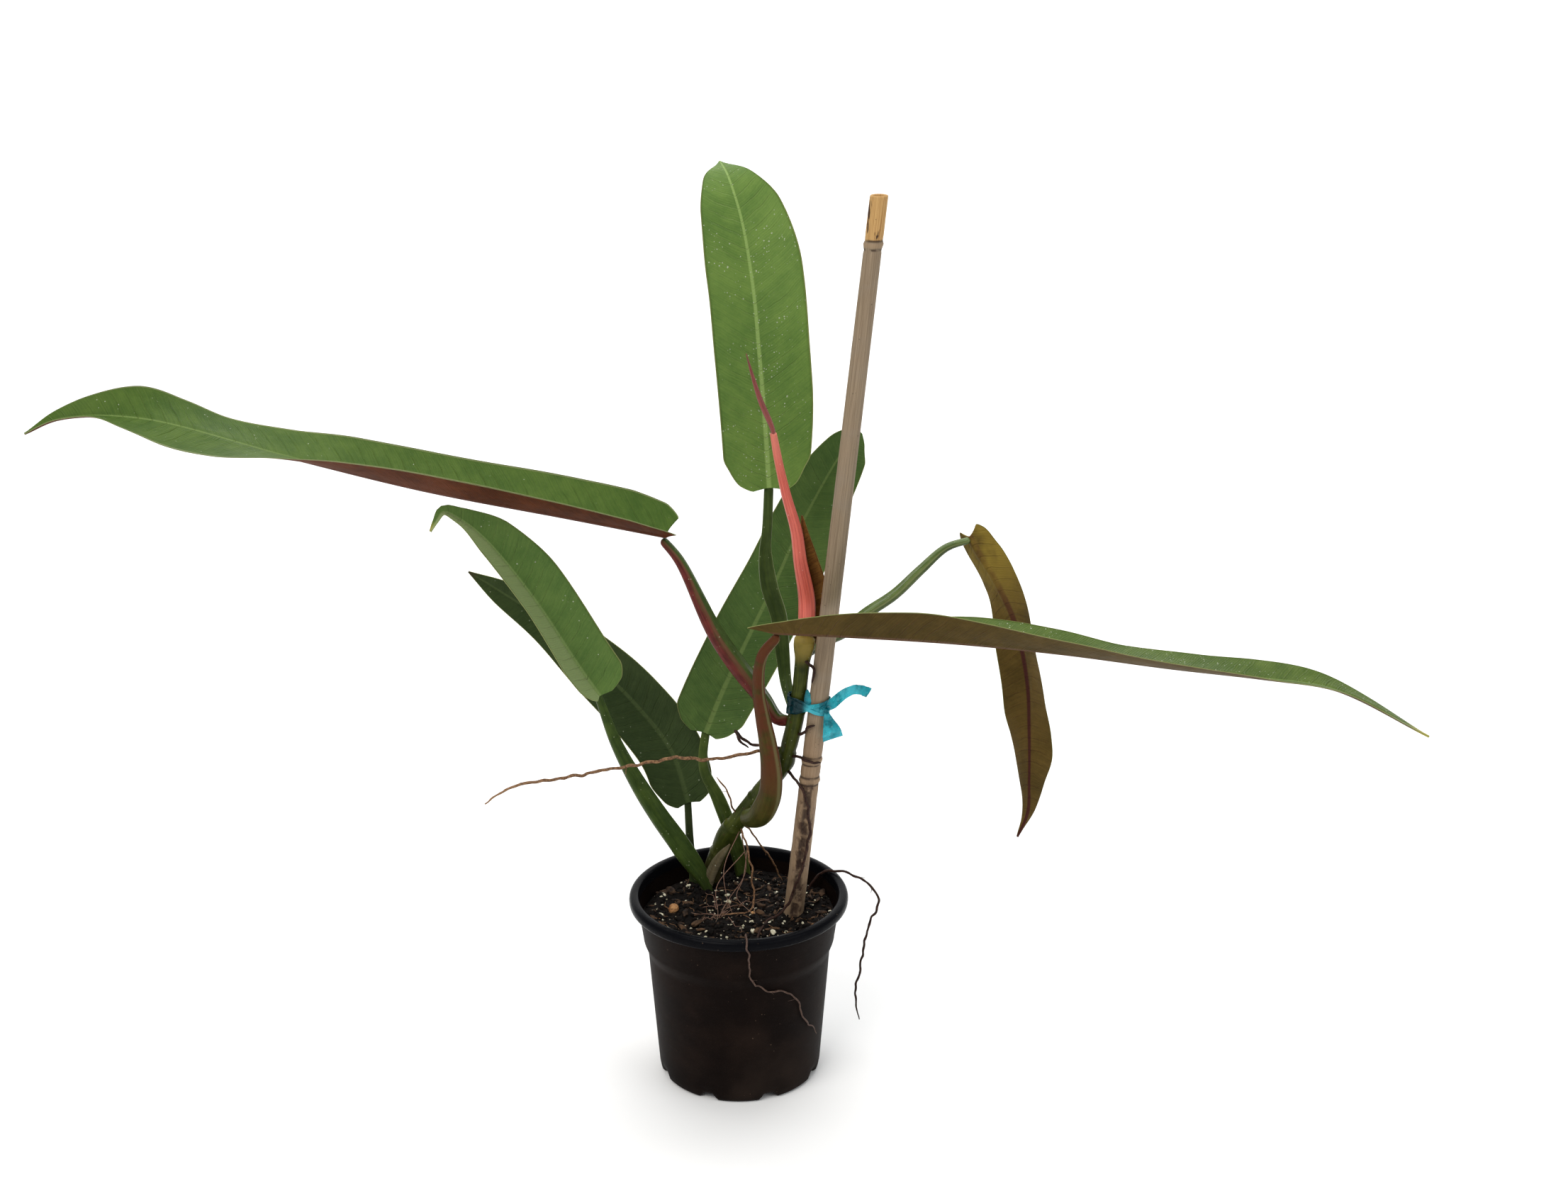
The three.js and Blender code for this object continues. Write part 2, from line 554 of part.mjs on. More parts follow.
const tapeGap = TIE_SLACK + TAPE_THICKNESS + CLEARANCE + TAIL_CURL_ROOM;
const tapeTail = (rib, halfWidth) => blade({
  rib,
  widths: [[0, halfWidth * 0.6, halfWidth * 0.6], [0.4, halfWidth, halfWidth], [1, halfWidth, halfWidth]],
  folds: [[0, 25, 25], [1, 5, -15]],
  faces: [[0, 0, -1, 0.2], [1, 0, -1, 0.5]],
  lobe: 0,
  steps: 7,
});
const tapeTails = () => ({
  tape_tail_upper: tapeTail(
    [besideCane(130, -12, tapeGap), ...points([[53, -19, 136], [60, -20, 141], [69, -22, 139]])],
    3,
  ),
  tape_tail_lower: tapeTail(
    [besideCane(125, -18, tapeGap), ...points([[51, -20, 121], [55, -20, 117], [56, -19, 112]])],
    3.4,
  ),
});

// ---------------------------------------------------------------- aerial roots
// Roots on the cane follow its surface; roots over the rim follow the rim and the pot's wall.
const polar = (bearing, radius, height) => point(
  radius * Math.cos(deg(bearing)), radius * Math.sin(deg(bearing)), height,
);
const overRim = (bearing, outwards, height) => polar(bearing, RIM_RADIUS + outwards, SOIL_DROP + height);
const onWall = (bearing, height) => polar(
  bearing, wallRadius(height) + ROOT_THIN + CLEARANCE + FACET_ROOM, height - SOIL_LEVEL,
);
const ROOTS = {
  left_long: { radius: ROOT_THICK, steps: 22, paint: rootPink, route: points([[24, -1, 94],
    [11, 1, 95], [-16, 0, 91], [-32, -3, 94], [-46, -5, 92], [-83, -8, 86], [-123, -11, 79],
    [-135, -13, 71]]) },
  curl: { radius: ROOT_THIN, steps: 12, paint: rootPink, route: points([[25, -3, 99], [12, -1, 100],
    [6, -2, 102], [1, -3, 107], [-1, -4, 110], [1, -7, 107], [6, -7, 101]]) },
  node_up: { radius: ROOT_THIN, steps: 7, paint: rootPink, route: points([[-1, 20, 48],
    [-4, 15, 58], [-7, 15, 68], [-12, 16, 74]]) },
  cane_grip: { radius: ROOT_THIN, steps: 9, paint: rootBrown, route: [point(27, -3, 97),
    besideCane(97, 195, 1.6), besideCane(98, 235, 1.3), besideCane(97, 280, 1.3),
    besideCane(96, 315, 1.3)] },
  cane_upper: { radius: ROOT_THIN, steps: 8, paint: rootBrown, route: [point(34, -15, 155),
    besideCane(151, 222, 1.5), besideCane(143, 224, 1.9)] },
  cane_down: { radius: ROOT_THIN, steps: 20, paint: rootBrown, route: [point(22, 4, 87),
    besideCane(84, 200, 2.5), besideCane(78, 250, 1.4), besideCane(58, 292, 1.7),
    besideCane(36, 285, 1.7), besideCane(22, 260, 2.2), besideCane(8, 240, 5), onSoil(-41, 0.4),
    onSoil(-72, 0.6), onSoil(-79, 0.77)] },
  cane_side: { radius: ROOT_THIN, steps: 8, paint: rootBrown, route: [point(30, -6, 108),
    besideCane(113, 205, 1.3), besideCane(117, 230, 1.2), besideCane(119, 262, 1.2)] },
  soil_reach: { radius: ROOT_THIN, steps: 12, paint: rootPink, route: [...points([[1, 22, 44],
    [8, 21, 37], [12, 22, 30], [17, 28, 20]]), onSoil(58, 0.85)] },
  soil_loop: { radius: ROOT_THIN, steps: 16, paint: rootPink, route: [...points([[1, 18, 43],
    [4, 12, 34], [7, 8, 22], [8, 4, 10]]), onSoil(-27, 0.13), onSoil(-127, 0.1),
    onSoil(-176, 0.25)] },
  over_rim_right: { radius: ROOT_THIN, steps: 22, paint: rootBrown, route: [onSoil(35, 0.88),
    overRim(28, -8, -1), overRim(22, -2, 1.5), overRim(18, 7, -1), overRim(12, 18.5, -11),
    overRim(11, 18, -18), overRim(11, 13.5, -27), overRim(12, 9, -57), overRim(12, 6.5, -70),
    overRim(12, 9, -88)] },
  over_rim_front: { radius: ROOT_THIN, steps: 24, paint: rootPink, route: [onSoil(-83, 0.8),
    overRim(-85, -8, 0), overRim(-85, -2.5, 1.6), overRim(-85, 1.6, -2), overRim(-84, 0.6, -7),
    onWall(-83, WALL_TOP - 10), onWall(-82, COLLAR_FOOT), onWall(-76, BODY_TOP),
    onWall(-69, BODY_TOP - 4), onWall(-62, BODY_TOP - 5), onWall(-51, BODY_TOP - 13),
    onWall(-43, BODY_TOP - 29), onWall(-33, BODY_TOP - 37), onWall(-27, BODY_TOP - 44)] },
};

// ---------------------------------------------------------------- loose bits on the potting mix
const BITS = [
  { name: 'clay_pebble', bearing: 177, share: 0.68, size: 3.4, paint: clayPebble },
  { name: 'perlite_1', bearing: -175, share: 0.80, size: 2, paint: perlite },
  { name: 'perlite_2', bearing: -110, share: 0.72, size: 2.3, paint: perlite },
  { name: 'perlite_3', bearing: -52, share: 0.58, size: 2.2, paint: perlite },
  { name: 'perlite_4', bearing: 117, share: 0.25, size: 2.2, paint: perlite },
  { name: 'perlite_5', bearing: -152, share: 0.81, size: 1.9, paint: perlite },
  { name: 'perlite_6', bearing: 11, share: 0.77, size: 2.1, paint: perlite },
  { name: 'perlite_7', bearing: -70, share: 0.44, size: 1.9, paint: perlite },
  { name: 'bark_chip_1', bearing: -148, share: 0.49, size: 3, paint: bark },
  { name: 'bark_chip_2', bearing: -50, share: 0.79, size: 3.2, paint: bark },
];

const CRUMB_FLATNESS = 0.6;

// A rounded crumb lying on the potting mix.
function bit({ bearing, share, size }) {
  const { x, y } = inPot(bearing, share, 0);
  const crumb = weld(new THREE.IcosahedronGeometry(size, 1)).scale(1, 0.8, CRUMB_FLATNESS);
  const middle = soilRise(x, y) + CRUMB_FLATNESS * size + CLEARANCE + SOIL_COARSENESS / 2;
  return crumb.translate(x, y, middle);
}

// ---------------------------------------------------------------- assembly
const plant = new THREE.Group();
function add(name, geometry, paint) {
  const mesh = new THREE.Mesh(geometry, paint);
  mesh.name = name;
  plant.add(mesh);
}

const stalkOf = (name, grow = 0) => planted(stalk({ ...STALKS[name], grow }));
const stemCut = mainStem(CLEARANCE);
const caneCut = planted(cane(CLEARANCE));

add('pot', nurseryPot(), potPlastic);
add('potting_mix', pottingMix([
  caneCut, stemCut, ...ROOTED_STALKS.map((name) => stalkOf(name, CLEARANCE)),
]), peat);
add('bamboo_cane', planted(cane()), bamboo);
add('main_stem', mainStem(), stemGreen);

const bladePaints = {
  left_long: leafGreen, upright: leafGreen, back_tall: leafGreen, left_upper: leafGreen,
  left_lower: leafDark, right_long: leafGreen, right_drooping: leafOlive,
};
for (const name of Object.keys(STALKS)) {
  add(`leaf_stalk_${name}`, cutAway(stalkOf(name), [stemCut]), stemGreen);
  add(`leaf_blade_${name}`, planted(blade(BLADES[name])), bladePaints[name]);
}

add('cataphyll', planted(cataphyll()), sheathRed);
add('new_leaf_spike', planted(newLeafSpike()), spikeRed);
const flapCuts = [stemCut, planted(cataphyll(CLEARANCE))];
add('dried_sheath_flap', cutAway(planted(driedFlap()), flapCuts), driedSheath);

add('tape_loop', planted(tieLoop()), tape);
for (const [name, geometry] of Object.entries(tapeTails())) {
  add(name, planted(geometry), tape);
}

for (const [name, { route, radius, steps, paint }] of Object.entries(ROOTS)) {
  add(`aerial_root_${name}`, cutAway(planted(rootTube(route, radius, steps)), [stemCut]), paint);
}

for (const piece of BITS) {
  add(piece.name, planted(bit(piece)), piece.paint);
}

export default plant;
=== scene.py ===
import math
import random

import bpy
import numpy as np
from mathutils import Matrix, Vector, noise


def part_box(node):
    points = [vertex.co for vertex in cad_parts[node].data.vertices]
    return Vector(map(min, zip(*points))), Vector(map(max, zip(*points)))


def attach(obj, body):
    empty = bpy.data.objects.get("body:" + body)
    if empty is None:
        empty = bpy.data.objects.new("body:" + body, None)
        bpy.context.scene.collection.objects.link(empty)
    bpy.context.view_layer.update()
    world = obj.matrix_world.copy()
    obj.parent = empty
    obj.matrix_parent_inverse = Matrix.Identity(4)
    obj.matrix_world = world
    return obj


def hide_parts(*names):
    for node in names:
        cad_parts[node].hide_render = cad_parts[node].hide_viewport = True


# A young climbing philodendron in a black nursery pot, tied to a bamboo cane.
# Shapes are worked out in millimetres, in the frame of the CAD model, and become metres in add_piece.

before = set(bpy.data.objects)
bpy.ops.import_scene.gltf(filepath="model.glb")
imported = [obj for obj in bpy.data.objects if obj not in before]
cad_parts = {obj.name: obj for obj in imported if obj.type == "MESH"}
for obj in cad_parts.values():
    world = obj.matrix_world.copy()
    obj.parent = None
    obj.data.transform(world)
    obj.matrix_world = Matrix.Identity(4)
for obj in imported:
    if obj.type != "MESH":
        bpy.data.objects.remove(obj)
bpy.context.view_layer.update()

MM = 0.001
_, POT_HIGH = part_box("pot")
POT_TOP = POT_HIGH[2] / MM
RIM_RADIUS = POT_HIGH[0] / MM
SOIL_DROP = 13  # from the top of the rim down to the potting mix
SOIL_LEVEL = POT_TOP - SOIL_DROP
SOIL_RADIUS = 53.05
ROOTED_DEPTH = 16  # how far stem and leaf stalks go down into the mix
CANE_LENGTH = 400  # above the mix
CANE_DEPTH = 79.6  # below it
CANE_FOOT_RADIUS, CANE_TOP_RADIUS = 5.5, 4.4
CANE_LEAN = np.array([0.1, -0.098, 1.0])  # its direction, per mm of height
CANE_JOINTS = (84, 96, 376)
STEM_RADIUS = 4.7
STEM_TO_CANE = STEM_RADIUS + 1.5
TIE_HEIGHT, TIE_BEARING = 128, 160  # the bearing from the cane to the stem
BLADE_THICKNESS = 0.9
BLADE_KEEL = 1.1


# ------------------------------------------------------------------ lines and frames
def unit(v):
    """Vectors of length 1."""
    return v / np.linalg.norm(v, axis=-1, keepdims=True)


def smooth_step(low, high, value):
    t = np.clip((np.asarray(value, float) - low) / (high - low), 0, 1)
    return t * t * (3 - 2 * t)


class Route:
    """A smooth line through points, read by the share of its length."""

    def __init__(self, points, density=60):
        p = np.array(points, float)
        q = np.vstack([2 * p[0] - p[1], p, 2 * p[-1] - p[-2]])
        t = np.linspace(0, 1, density, endpoint=False)[:, None]
        spans = []
        for i in range(len(p) - 1):
            a, b, c, d = q[i : i + 4]
            ab, bc, cd = (np.linalg.norm(w) ** 0.5 for w in (b - a, c - b, d - c))
            out = ((b - a) / ab - (c - a) / (ab + bc) + (c - b) / bc) * bc
            into = ((c - b) / bc - (d - b) / (bc + cd) + (d - c) / cd) * bc
            turn = -3 * b + 3 * c - 2 * out - into
            spans.append(b + out * t + turn * t**2 + (2 * b - 2 * c + out + into) * t**3)
        self.line = np.vstack(spans + [p[-1:]])
        run = np.cumsum(np.linalg.norm(np.diff(self.line, axis=0), axis=1))
        self.length = run[-1]
        self.shares = np.concatenate([[0], run]) / self.length

    def at(self, share):
        return np.stack([np.interp(share, self.shares, self.line[:, k]) for k in range(3)], -1)

    def ahead(self, share):
        near = 2e-3
        return unit(self.at(np.clip(share + near, 0, 1)) - self.at(np.clip(share - near, 0, 1)))

    def frames(self, share, face):
        """Place, direction, upper side and sideways direction at each share."""
        ahead = self.ahead(share)
        face = np.broadcast_to(np.asarray(face, float), ahead.shape)
        up = unit(face - ahead * (face * ahead).sum(-1, keepdims=True))
        return self.at(share), ahead, up, np.cross(ahead, up)


def track(stops):
    """A value that runs smoothly through stops of [share, value, value...], without overshoot."""
    stops = np.array(stops, float)
    x, y = stops[:, 0], stops[:, 1:]
    h = np.diff(x)[:, None]
    slope = np.diff(y, axis=0) / h
    m = np.vstack([slope[:1], np.zeros((len(x) - 2, y.shape[1])), slope[-1:]])
    if len(x) > 2:
        before, after = slope[:-1], slope[1:]
        same = before * after > 0
        safe = np.where(same, before + after, 1)
        m[1:-1] = np.where(same, 2 * before * after / safe, 0)

    def value(share):
        share = np.clip(np.asarray(share, float), x[0], x[-1])
        i = np.clip(np.searchsorted(x, share, side="right") - 1, 0, len(x) - 2)
        t = ((share - x[i]) / h[i, 0])[..., None]
        a, b, ma, mb = y[i], y[i + 1], m[i] * h[i], m[i + 1] * h[i]
        turn = -3 * a + 3 * b - 2 * ma - mb
        return a + ma * t + turn * t**2 + (2 * a - 2 * b + ma + mb) * t**3

    return value


def rough(points, scale, seed=0.0):
    """Smooth noise from -1 to 1 at each point."""
    shift = Vector((seed, -seed, 0.37 * seed))
    flat = np.asarray(points, float).reshape(-1, 3)
    values = [noise.noise(Vector(p) * scale + shift) for p in flat]
    return np.array(values).reshape(np.shape(points)[:-1])


# ------------------------------------------------------------------ meshes
class Shape:
    """Vertices, faces and per-vertex data, gathered from one or more closed bodies."""

    def __init__(self):
        self.vertices, self.faces, self.data, self.count = [], [], {}, 0

    def add(self, vertices, faces, **data):
        vertices = np.asarray(vertices, float).reshape(-1, 3)
        if volume(vertices, faces) < 0:
            faces = [f[::-1] for f in faces]
        self.faces += [tuple(int(i) + self.count for i in f) for f in faces]
        self.vertices.append(vertices)
        for key, values in data.items():
            values = np.broadcast_to(np.asarray(values, float), (len(vertices), 3))
            self.data.setdefault(key, []).append(values)
        self.count += len(vertices)
        return self


def volume(vertices, faces):
    """Six times the volume of a closed body: negative when its faces look inwards."""
    total = 0.0
    for size in (3, 4):
        chosen = np.array([f for f in faces if len(f) == size], int).reshape(-1, size)
        for k in range(1, size - 1):
            a, b, c = (vertices[chosen[:, i]] for i in (0, k, k + 1))
            total += (a * np.cross(b, c)).sum()
    return total


def add_piece(name, shape, material, slot, replaces=()):
    """Makes the Blender object of a shape. It rides the one body and stands in for the given CAD nodes."""
    mesh = bpy.data.meshes.new(name)
    mesh.from_pydata((np.vstack(shape.vertices) * MM).tolist(), [], shape.faces)
    for key, values in shape.data.items():
        attribute = mesh.attributes.new(key, "FLOAT_VECTOR", "POINT")
        attribute.data.foreach_set("vector", np.vstack(values).astype(np.float32).ravel())
    mesh.polygons.foreach_set("use_smooth", [True] * len(mesh.polygons))
    mesh.materials.append(material)
    mesh.update()
    piece = bpy.data.objects.new(name, mesh)
    bpy.context.scene.collection.objects.link(piece)
    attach(piece, "root")
    if replaces:
        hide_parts(*replaces)


def grid_faces(rows, columns, wrap=False):
    """Quads of a grid of rows x columns vertices; wrap joins the last column to the first."""
    across = columns if wrap else columns - 1
    j, i = np.meshgrid(np.arange(rows - 1), np.arange(across), indexing="ij")
    a, b = j * columns + i, j * columns + (i + 1) % columns
    return np.stack([a, b, b + columns, a + columns], -1).reshape(-1, 4).tolist()


def rings(shape, places, **data):
    """Closes a stack of rings (rows x columns x 3) with a fan at each end, as one body."""
    rows, columns = places.shape[:2]
    ends = np.stack([places[0].mean(0), places[-1].mean(0)])
    faces = grid_faces(rows, columns, wrap=True)
    first, last = rows * columns, rows * columns + 1
    for i in range(columns):
        after = (i + 1) % columns
        faces.append([first, after, i])
        faces.append([last, (rows - 1) * columns + i, (rows - 1) * columns + after])
    extra = {}
    for key, values in data.items():
        values = np.broadcast_to(np.asarray(values, float), places.shape)
        caps = np.stack([values[0].mean(0), values[-1].mean(0)])
        extra[key] = np.vstack([values.reshape(-1, 3), caps])
    return shape.add(np.vstack([places.reshape(-1, 3), ends]), faces, **extra)


def turned(shape, profile, segments=160, wave=None):
    """A profile of [radius, height] turned about Z. It starts and ends on the axis."""
    profile = np.array(profile, float)
    angle = np.linspace(0, 2 * np.pi, segments, endpoint=False)
    radius, height = profile[1:-1, :1], profile[1:-1, 1:]
    places = np.stack(np.broadcast_arrays(radius * np.cos(angle), radius * np.sin(angle), height), -1)
    if wave:
        places = wave(places, angle)
    return rings(shape, places)


def rounded(profile, cut, steps=4):
    """The profile with each inner corner replaced by a small arc."""
    p = np.array(profile, float)
    out = [p[0]]
    for before, corner, after in zip(p[:-2], p[1:-1], p[2:]):
        reach = min(cut, *(0.45 * np.linalg.norm(w - corner) for w in (before, after)))
        start = corner + unit(before - corner) * reach
        end = corner + unit(after - corner) * reach
        for t in np.linspace(0, 1, steps):
            out.append((1 - t) ** 2 * start + 2 * t * (1 - t) * corner + t * t * end)
    return np.array(out + [p[-1]])


def tube(shape, route, radius, face=(0, -1, 0.2), channel=((0, 0), (1, 0)), sides=20, steps=None,
         dent=None):
    """A tapering stalk with rounded ends. The channel is how deeply its upper side is hollowed.

    Radius and channel are stops along its length; dent is a function that changes its radius locally."""
    steps = steps or max(8, int(route.length / 1.5))
    share = np.linspace(0, 1, steps + 1)
    size = track(radius)(share)[:, 0]
    hollow = track(channel)(share)[:, 0]
    end_shrink = [0.35, 0.75, 0.93]
    inset = 1 - np.sqrt(1 - np.array(end_shrink) ** 2)
    head, tail = size[0] * inset / route.length, size[-1] * inset / route.length
    share = np.concatenate([head, share[(share > head[-1]) & (share < 1 - tail[-1])], 1 - tail[::-1]])
    share.sort()
    size = np.interp(share, np.linspace(0, 1, steps + 1), size)
    hollow = np.interp(share, np.linspace(0, 1, steps + 1), hollow)[:, None]
    shrink = np.ones(len(share))
    shrink[:3] = end_shrink
    shrink[-3:] = end_shrink[::-1]
    angle = np.linspace(0, 2 * np.pi, sides, endpoint=False)
    x, z = np.sin(angle)[None], np.cos(angle)[None]
    at, _, up, side = route.frames(share, face)
    rise = np.where(z > 0, z * (1 - hollow * (1 - x * x)), z)
    body = (size * shrink)[:, None] * np.ones_like(x)
    if dent:
        body = body * dent(share[:, None] * route.length, angle[None], at)
    places = at[:, None] + side[:, None] * (x * body)[..., None] + up[:, None] * (rise * body)[..., None]
    ring = np.stack(np.broadcast_arrays(x, z, share[:, None]), -1)
    return rings(shape, places, ring=ring, length=share[:, None, None] * route.length)


def blade(shape, rib, widths, folds, faces, lobe=1, lobe_reach=0.12, curl=12, across=28, along=None,
          thickness=BLADE_THICKNESS, keel=BLADE_KEEL, ripple=0.5, seed=1.0):
    """A leaf blade on its rib. Widths and folds are for its left and its right half."""
    route = Route(rib)
    along = along or int(route.length / 1.8)
    y = np.linspace(0, 1, along + 1)
    share = y - 0.14 * np.sin(2 * np.pi * y)
    at, ahead, up, side = route.frames(share, track(faces)(share))
    x = np.linspace(-1, 1, across + 1)
    x = np.sign(x) * np.abs(x) ** 0.9
    half = (x > 0).astype(int)
    reach = np.abs(x)
    fold = track(folds)(share)[:, half]
    corner = 0.8 + 0.2 * np.sqrt(1 - (1 - np.clip(share / 0.02, 0, 1)) ** 2)
    width = track(widths)(share)[:, half] * corner[:, None]
    span = width * reach
    spread = np.stack(np.broadcast_arrays(share[:, None] * route.length / 38, x * 0.7, 0 * x), -1)
    wave = rough(spread, 1.0, seed)
    lean = np.radians(fold + curl * reach / 2)
    tilt = np.radians(fold + curl * reach) * np.sign(x)
    back = lobe * np.maximum(0, 1 - share[:, None] / lobe_reach) * reach**1.5
    thick = thickness * (1 - 0.62 * reach**3) / 2
    tips = smooth_step(0, 0.03, share) * smooth_step(1, 0.9, share)
    groove = 0.45 * np.exp(-((span / 1.1) ** 2)) * tips[:, None]
    rib_size = keel * (1 - 0.75 * share[:, None]) * np.exp(-((span / (2.2 - 1.2 * share[:, None])) ** 2))
    float_up = ripple * wave * reach**2 * tips[:, None] * np.minimum(1, width / 10)
    ahead, up, side = ahead[:, None], up[:, None], side[:, None]
    middle = at[:, None] + side * (np.sign(x) * span * np.cos(lean))[..., None]
    middle = middle + up * (span * np.sin(lean) + float_up)[..., None] - ahead * back[..., None]
    normal = up * np.cos(tilt)[..., None] - side * np.sin(tilt)[..., None]
    top = middle + normal * (thick - groove)[..., None]
    under = middle - normal * (thick + rib_size)[..., None]
    edge = middle[:, [0, -1]] + side * np.sign(x[[0, -1]])[:, None] * 0.15
    rows, columns = top.shape[:2]
    size = rows * columns
    faces_list = grid_faces(rows, columns)
    faces_list += [[i + size for i in f[::-1]] for f in grid_faces(rows, columns)]
    base = 2 * size
    for j in range(rows - 1):
        for k, column in enumerate((0, columns - 1)):
            t0, t1 = j * columns + column, (j + 1) * columns + column
            e0, e1 = base + 2 * j + k, base + 2 * (j + 1) + k
            quads = [[t1, t0, e0, e1], [e1, e0, t0 + size, t1 + size]]
            faces_list += quads if k == 0 else [q[::-1] for q in quads]
    for j, turn in ((0, 1), (rows - 1, -1)):
        for i in range(columns - 1):
            t0, t1 = j * columns + i, j * columns + i + 1
            faces_list.append([t1, t0, t0 + size, t1 + size][::turn])
        left, right = j * columns, j * columns + columns - 1
        faces_list.append([left, base + 2 * j, left + size][::turn])
        faces_list.append([right, right + size, base + 2 * j + 1][::turn])
    places = np.vstack([top.reshape(-1, 3), under.reshape(-1, 3), edge.reshape(-1, 3)])
    length = share[:, None] * route.length
    phase = length - 0.5 * span - 0.006 * span**2

    def both(first, second, edge_side):
        """The same two values on both faces and on the edge, with the side as the third."""
        ends = np.stack([first[:, [0, -1]], second[:, [0, -1]], np.full((rows, 2), edge_side)], -1)
        sheets = [np.stack([first, second, np.full_like(first, s)], -1).reshape(-1, 3) for s in (1.0, -1.0)]
        return np.vstack([*sheets, ends.reshape(-1, 3)])

    leaf = both(x * np.ones_like(length), share[:, None] * np.ones_like(x), 0.0)
    return shape.add(places, faces_list, leaf=leaf, veins=both(phase, span, 0.0))


# ------------------------------------------------------------------ node helpers
def plug(tree, socket, value):
    """Links a wire to a socket, or sets it to a number, a colour or a vector."""
    if isinstance(value, Wire):
        tree.links.new(value.socket, socket)
    else:
        socket.default_value = (*value, 1) if socket.type == "RGBA" else value


class Wire:
    """The output of a node. Sums and products of wires make more nodes."""

    def __init__(self, paint, socket):
        self.paint, self.socket = paint, socket

    def math(self, operation, *others):
        return self.paint.node("Math", dict(enumerate((self, *others))), operation=operation)[0]

    def __add__(self, other):
        return self.math("ADD", other)

    def __sub__(self, other):
        return self.math("SUBTRACT", other)

    def __mul__(self, other):
        return self.math("MULTIPLY", other)

    def __truediv__(self, other):
        return self.math("DIVIDE", other)

    def __abs__(self):
        return self.math("ABSOLUTE")


class Paint:
    """A material whose colour is laid on in layers of procedural patterns."""

    def __init__(self, name):
        self.material = bpy.data.materials.new(name)
        self.material.use_nodes = True
        self.tree = self.material.node_tree
        self.place = Wire(self, self.tree.nodes.new("ShaderNodeTexCoord").outputs["Object"])
        self.colour = None

    def node(self, kind, inputs, **settings):
        """The outputs of a new node with these inputs and settings."""
        node = self.tree.nodes.new(f"ShaderNode{kind}")
        for key, value in settings.items():
            setattr(node, key, value)
        for key, value in inputs.items():
            plug(self.tree, node.inputs[key], value)
        return [Wire(self, socket) for socket in node.outputs]

    def split(self, vector):
        return self.node("SeparateXYZ", {0: vector})

    def join(self, *values):
        return self.node("CombineXYZ", dict(enumerate(values)))[0]

    def attribute(self, name):
        """The three numbers that a mesh holds for each of its vertices under this name."""
        return self.split(self.node("Attribute", {}, attribute_name=name)[1])

    def step(self, low, high, value):
        """0 below low, 1 above high, smooth between; high may be the lower one."""
        first, last, start, end = (low, high, 0, 1) if low < high else (high, low, 1, 0)
        inputs = {"Value": value, "From Min": first, "From Max": last, "To Min": start, "To Max": end}
        return self.node("MapRange", inputs, interpolation_type="SMOOTHSTEP")[0]

    def mix(self, share, first, second):
        """One colour at share 0 and the other at share 1."""
        return self.node("Mix", {0: share, 6: first, 7: second}, data_type="RGBA")[2]

    def lay(self, mask, colour, amount=1.0):
        """Lays one more colour over what is there, as much as the mask says."""
        self.colour = self.mix(mask * amount, self.colour, colour)

    def stretched(self, *scale):
        return self.node("Mapping", {"Vector": self.place, "Scale": scale})[0]

    def noise(self, scale, detail, vector=None, roughness=0.55):
        inputs = {"Vector": vector or self.place, "Scale": scale, "Detail": detail, "Roughness": roughness}
        return self.node("TexNoise", inputs)[0]

    def cells(self, scale):
        """Distance from the middle of the nearest cell, and that cell's random colour."""
        return self.node("TexVoronoi", {"Vector": self.place, "Scale": scale})[:2]

    def specks(self, scale, size, amount):
        """A mask of small scattered spots, each of them kept or dropped by its own random colour."""
        distance, colour = self.cells(scale)
        chance, growth, _ = self.node("SeparateColor", {0: colour})
        kept = self.step(1 - amount, 1.001 - amount, chance)
        return kept * distance.math("LESS_THAN", growth * size + size * 0.4)

    def finish(self, roughness, bumps=None, depth=0.0, **values):
        """Sets up the shader; the bumps are at most so many metres deep."""
        shader = next(node for node in self.tree.nodes if node.type == "BSDF_PRINCIPLED")
        values.update(Base_Color=self.colour, Roughness=roughness)
        if bumps:
            values["Normal"] = self.node("Bump", {"Strength": 1.0, "Distance": depth, "Height": bumps})[0]
        for key, value in values.items():
            plug(self.tree, shader.inputs[key.replace("_", " ")], value)
        return self.material


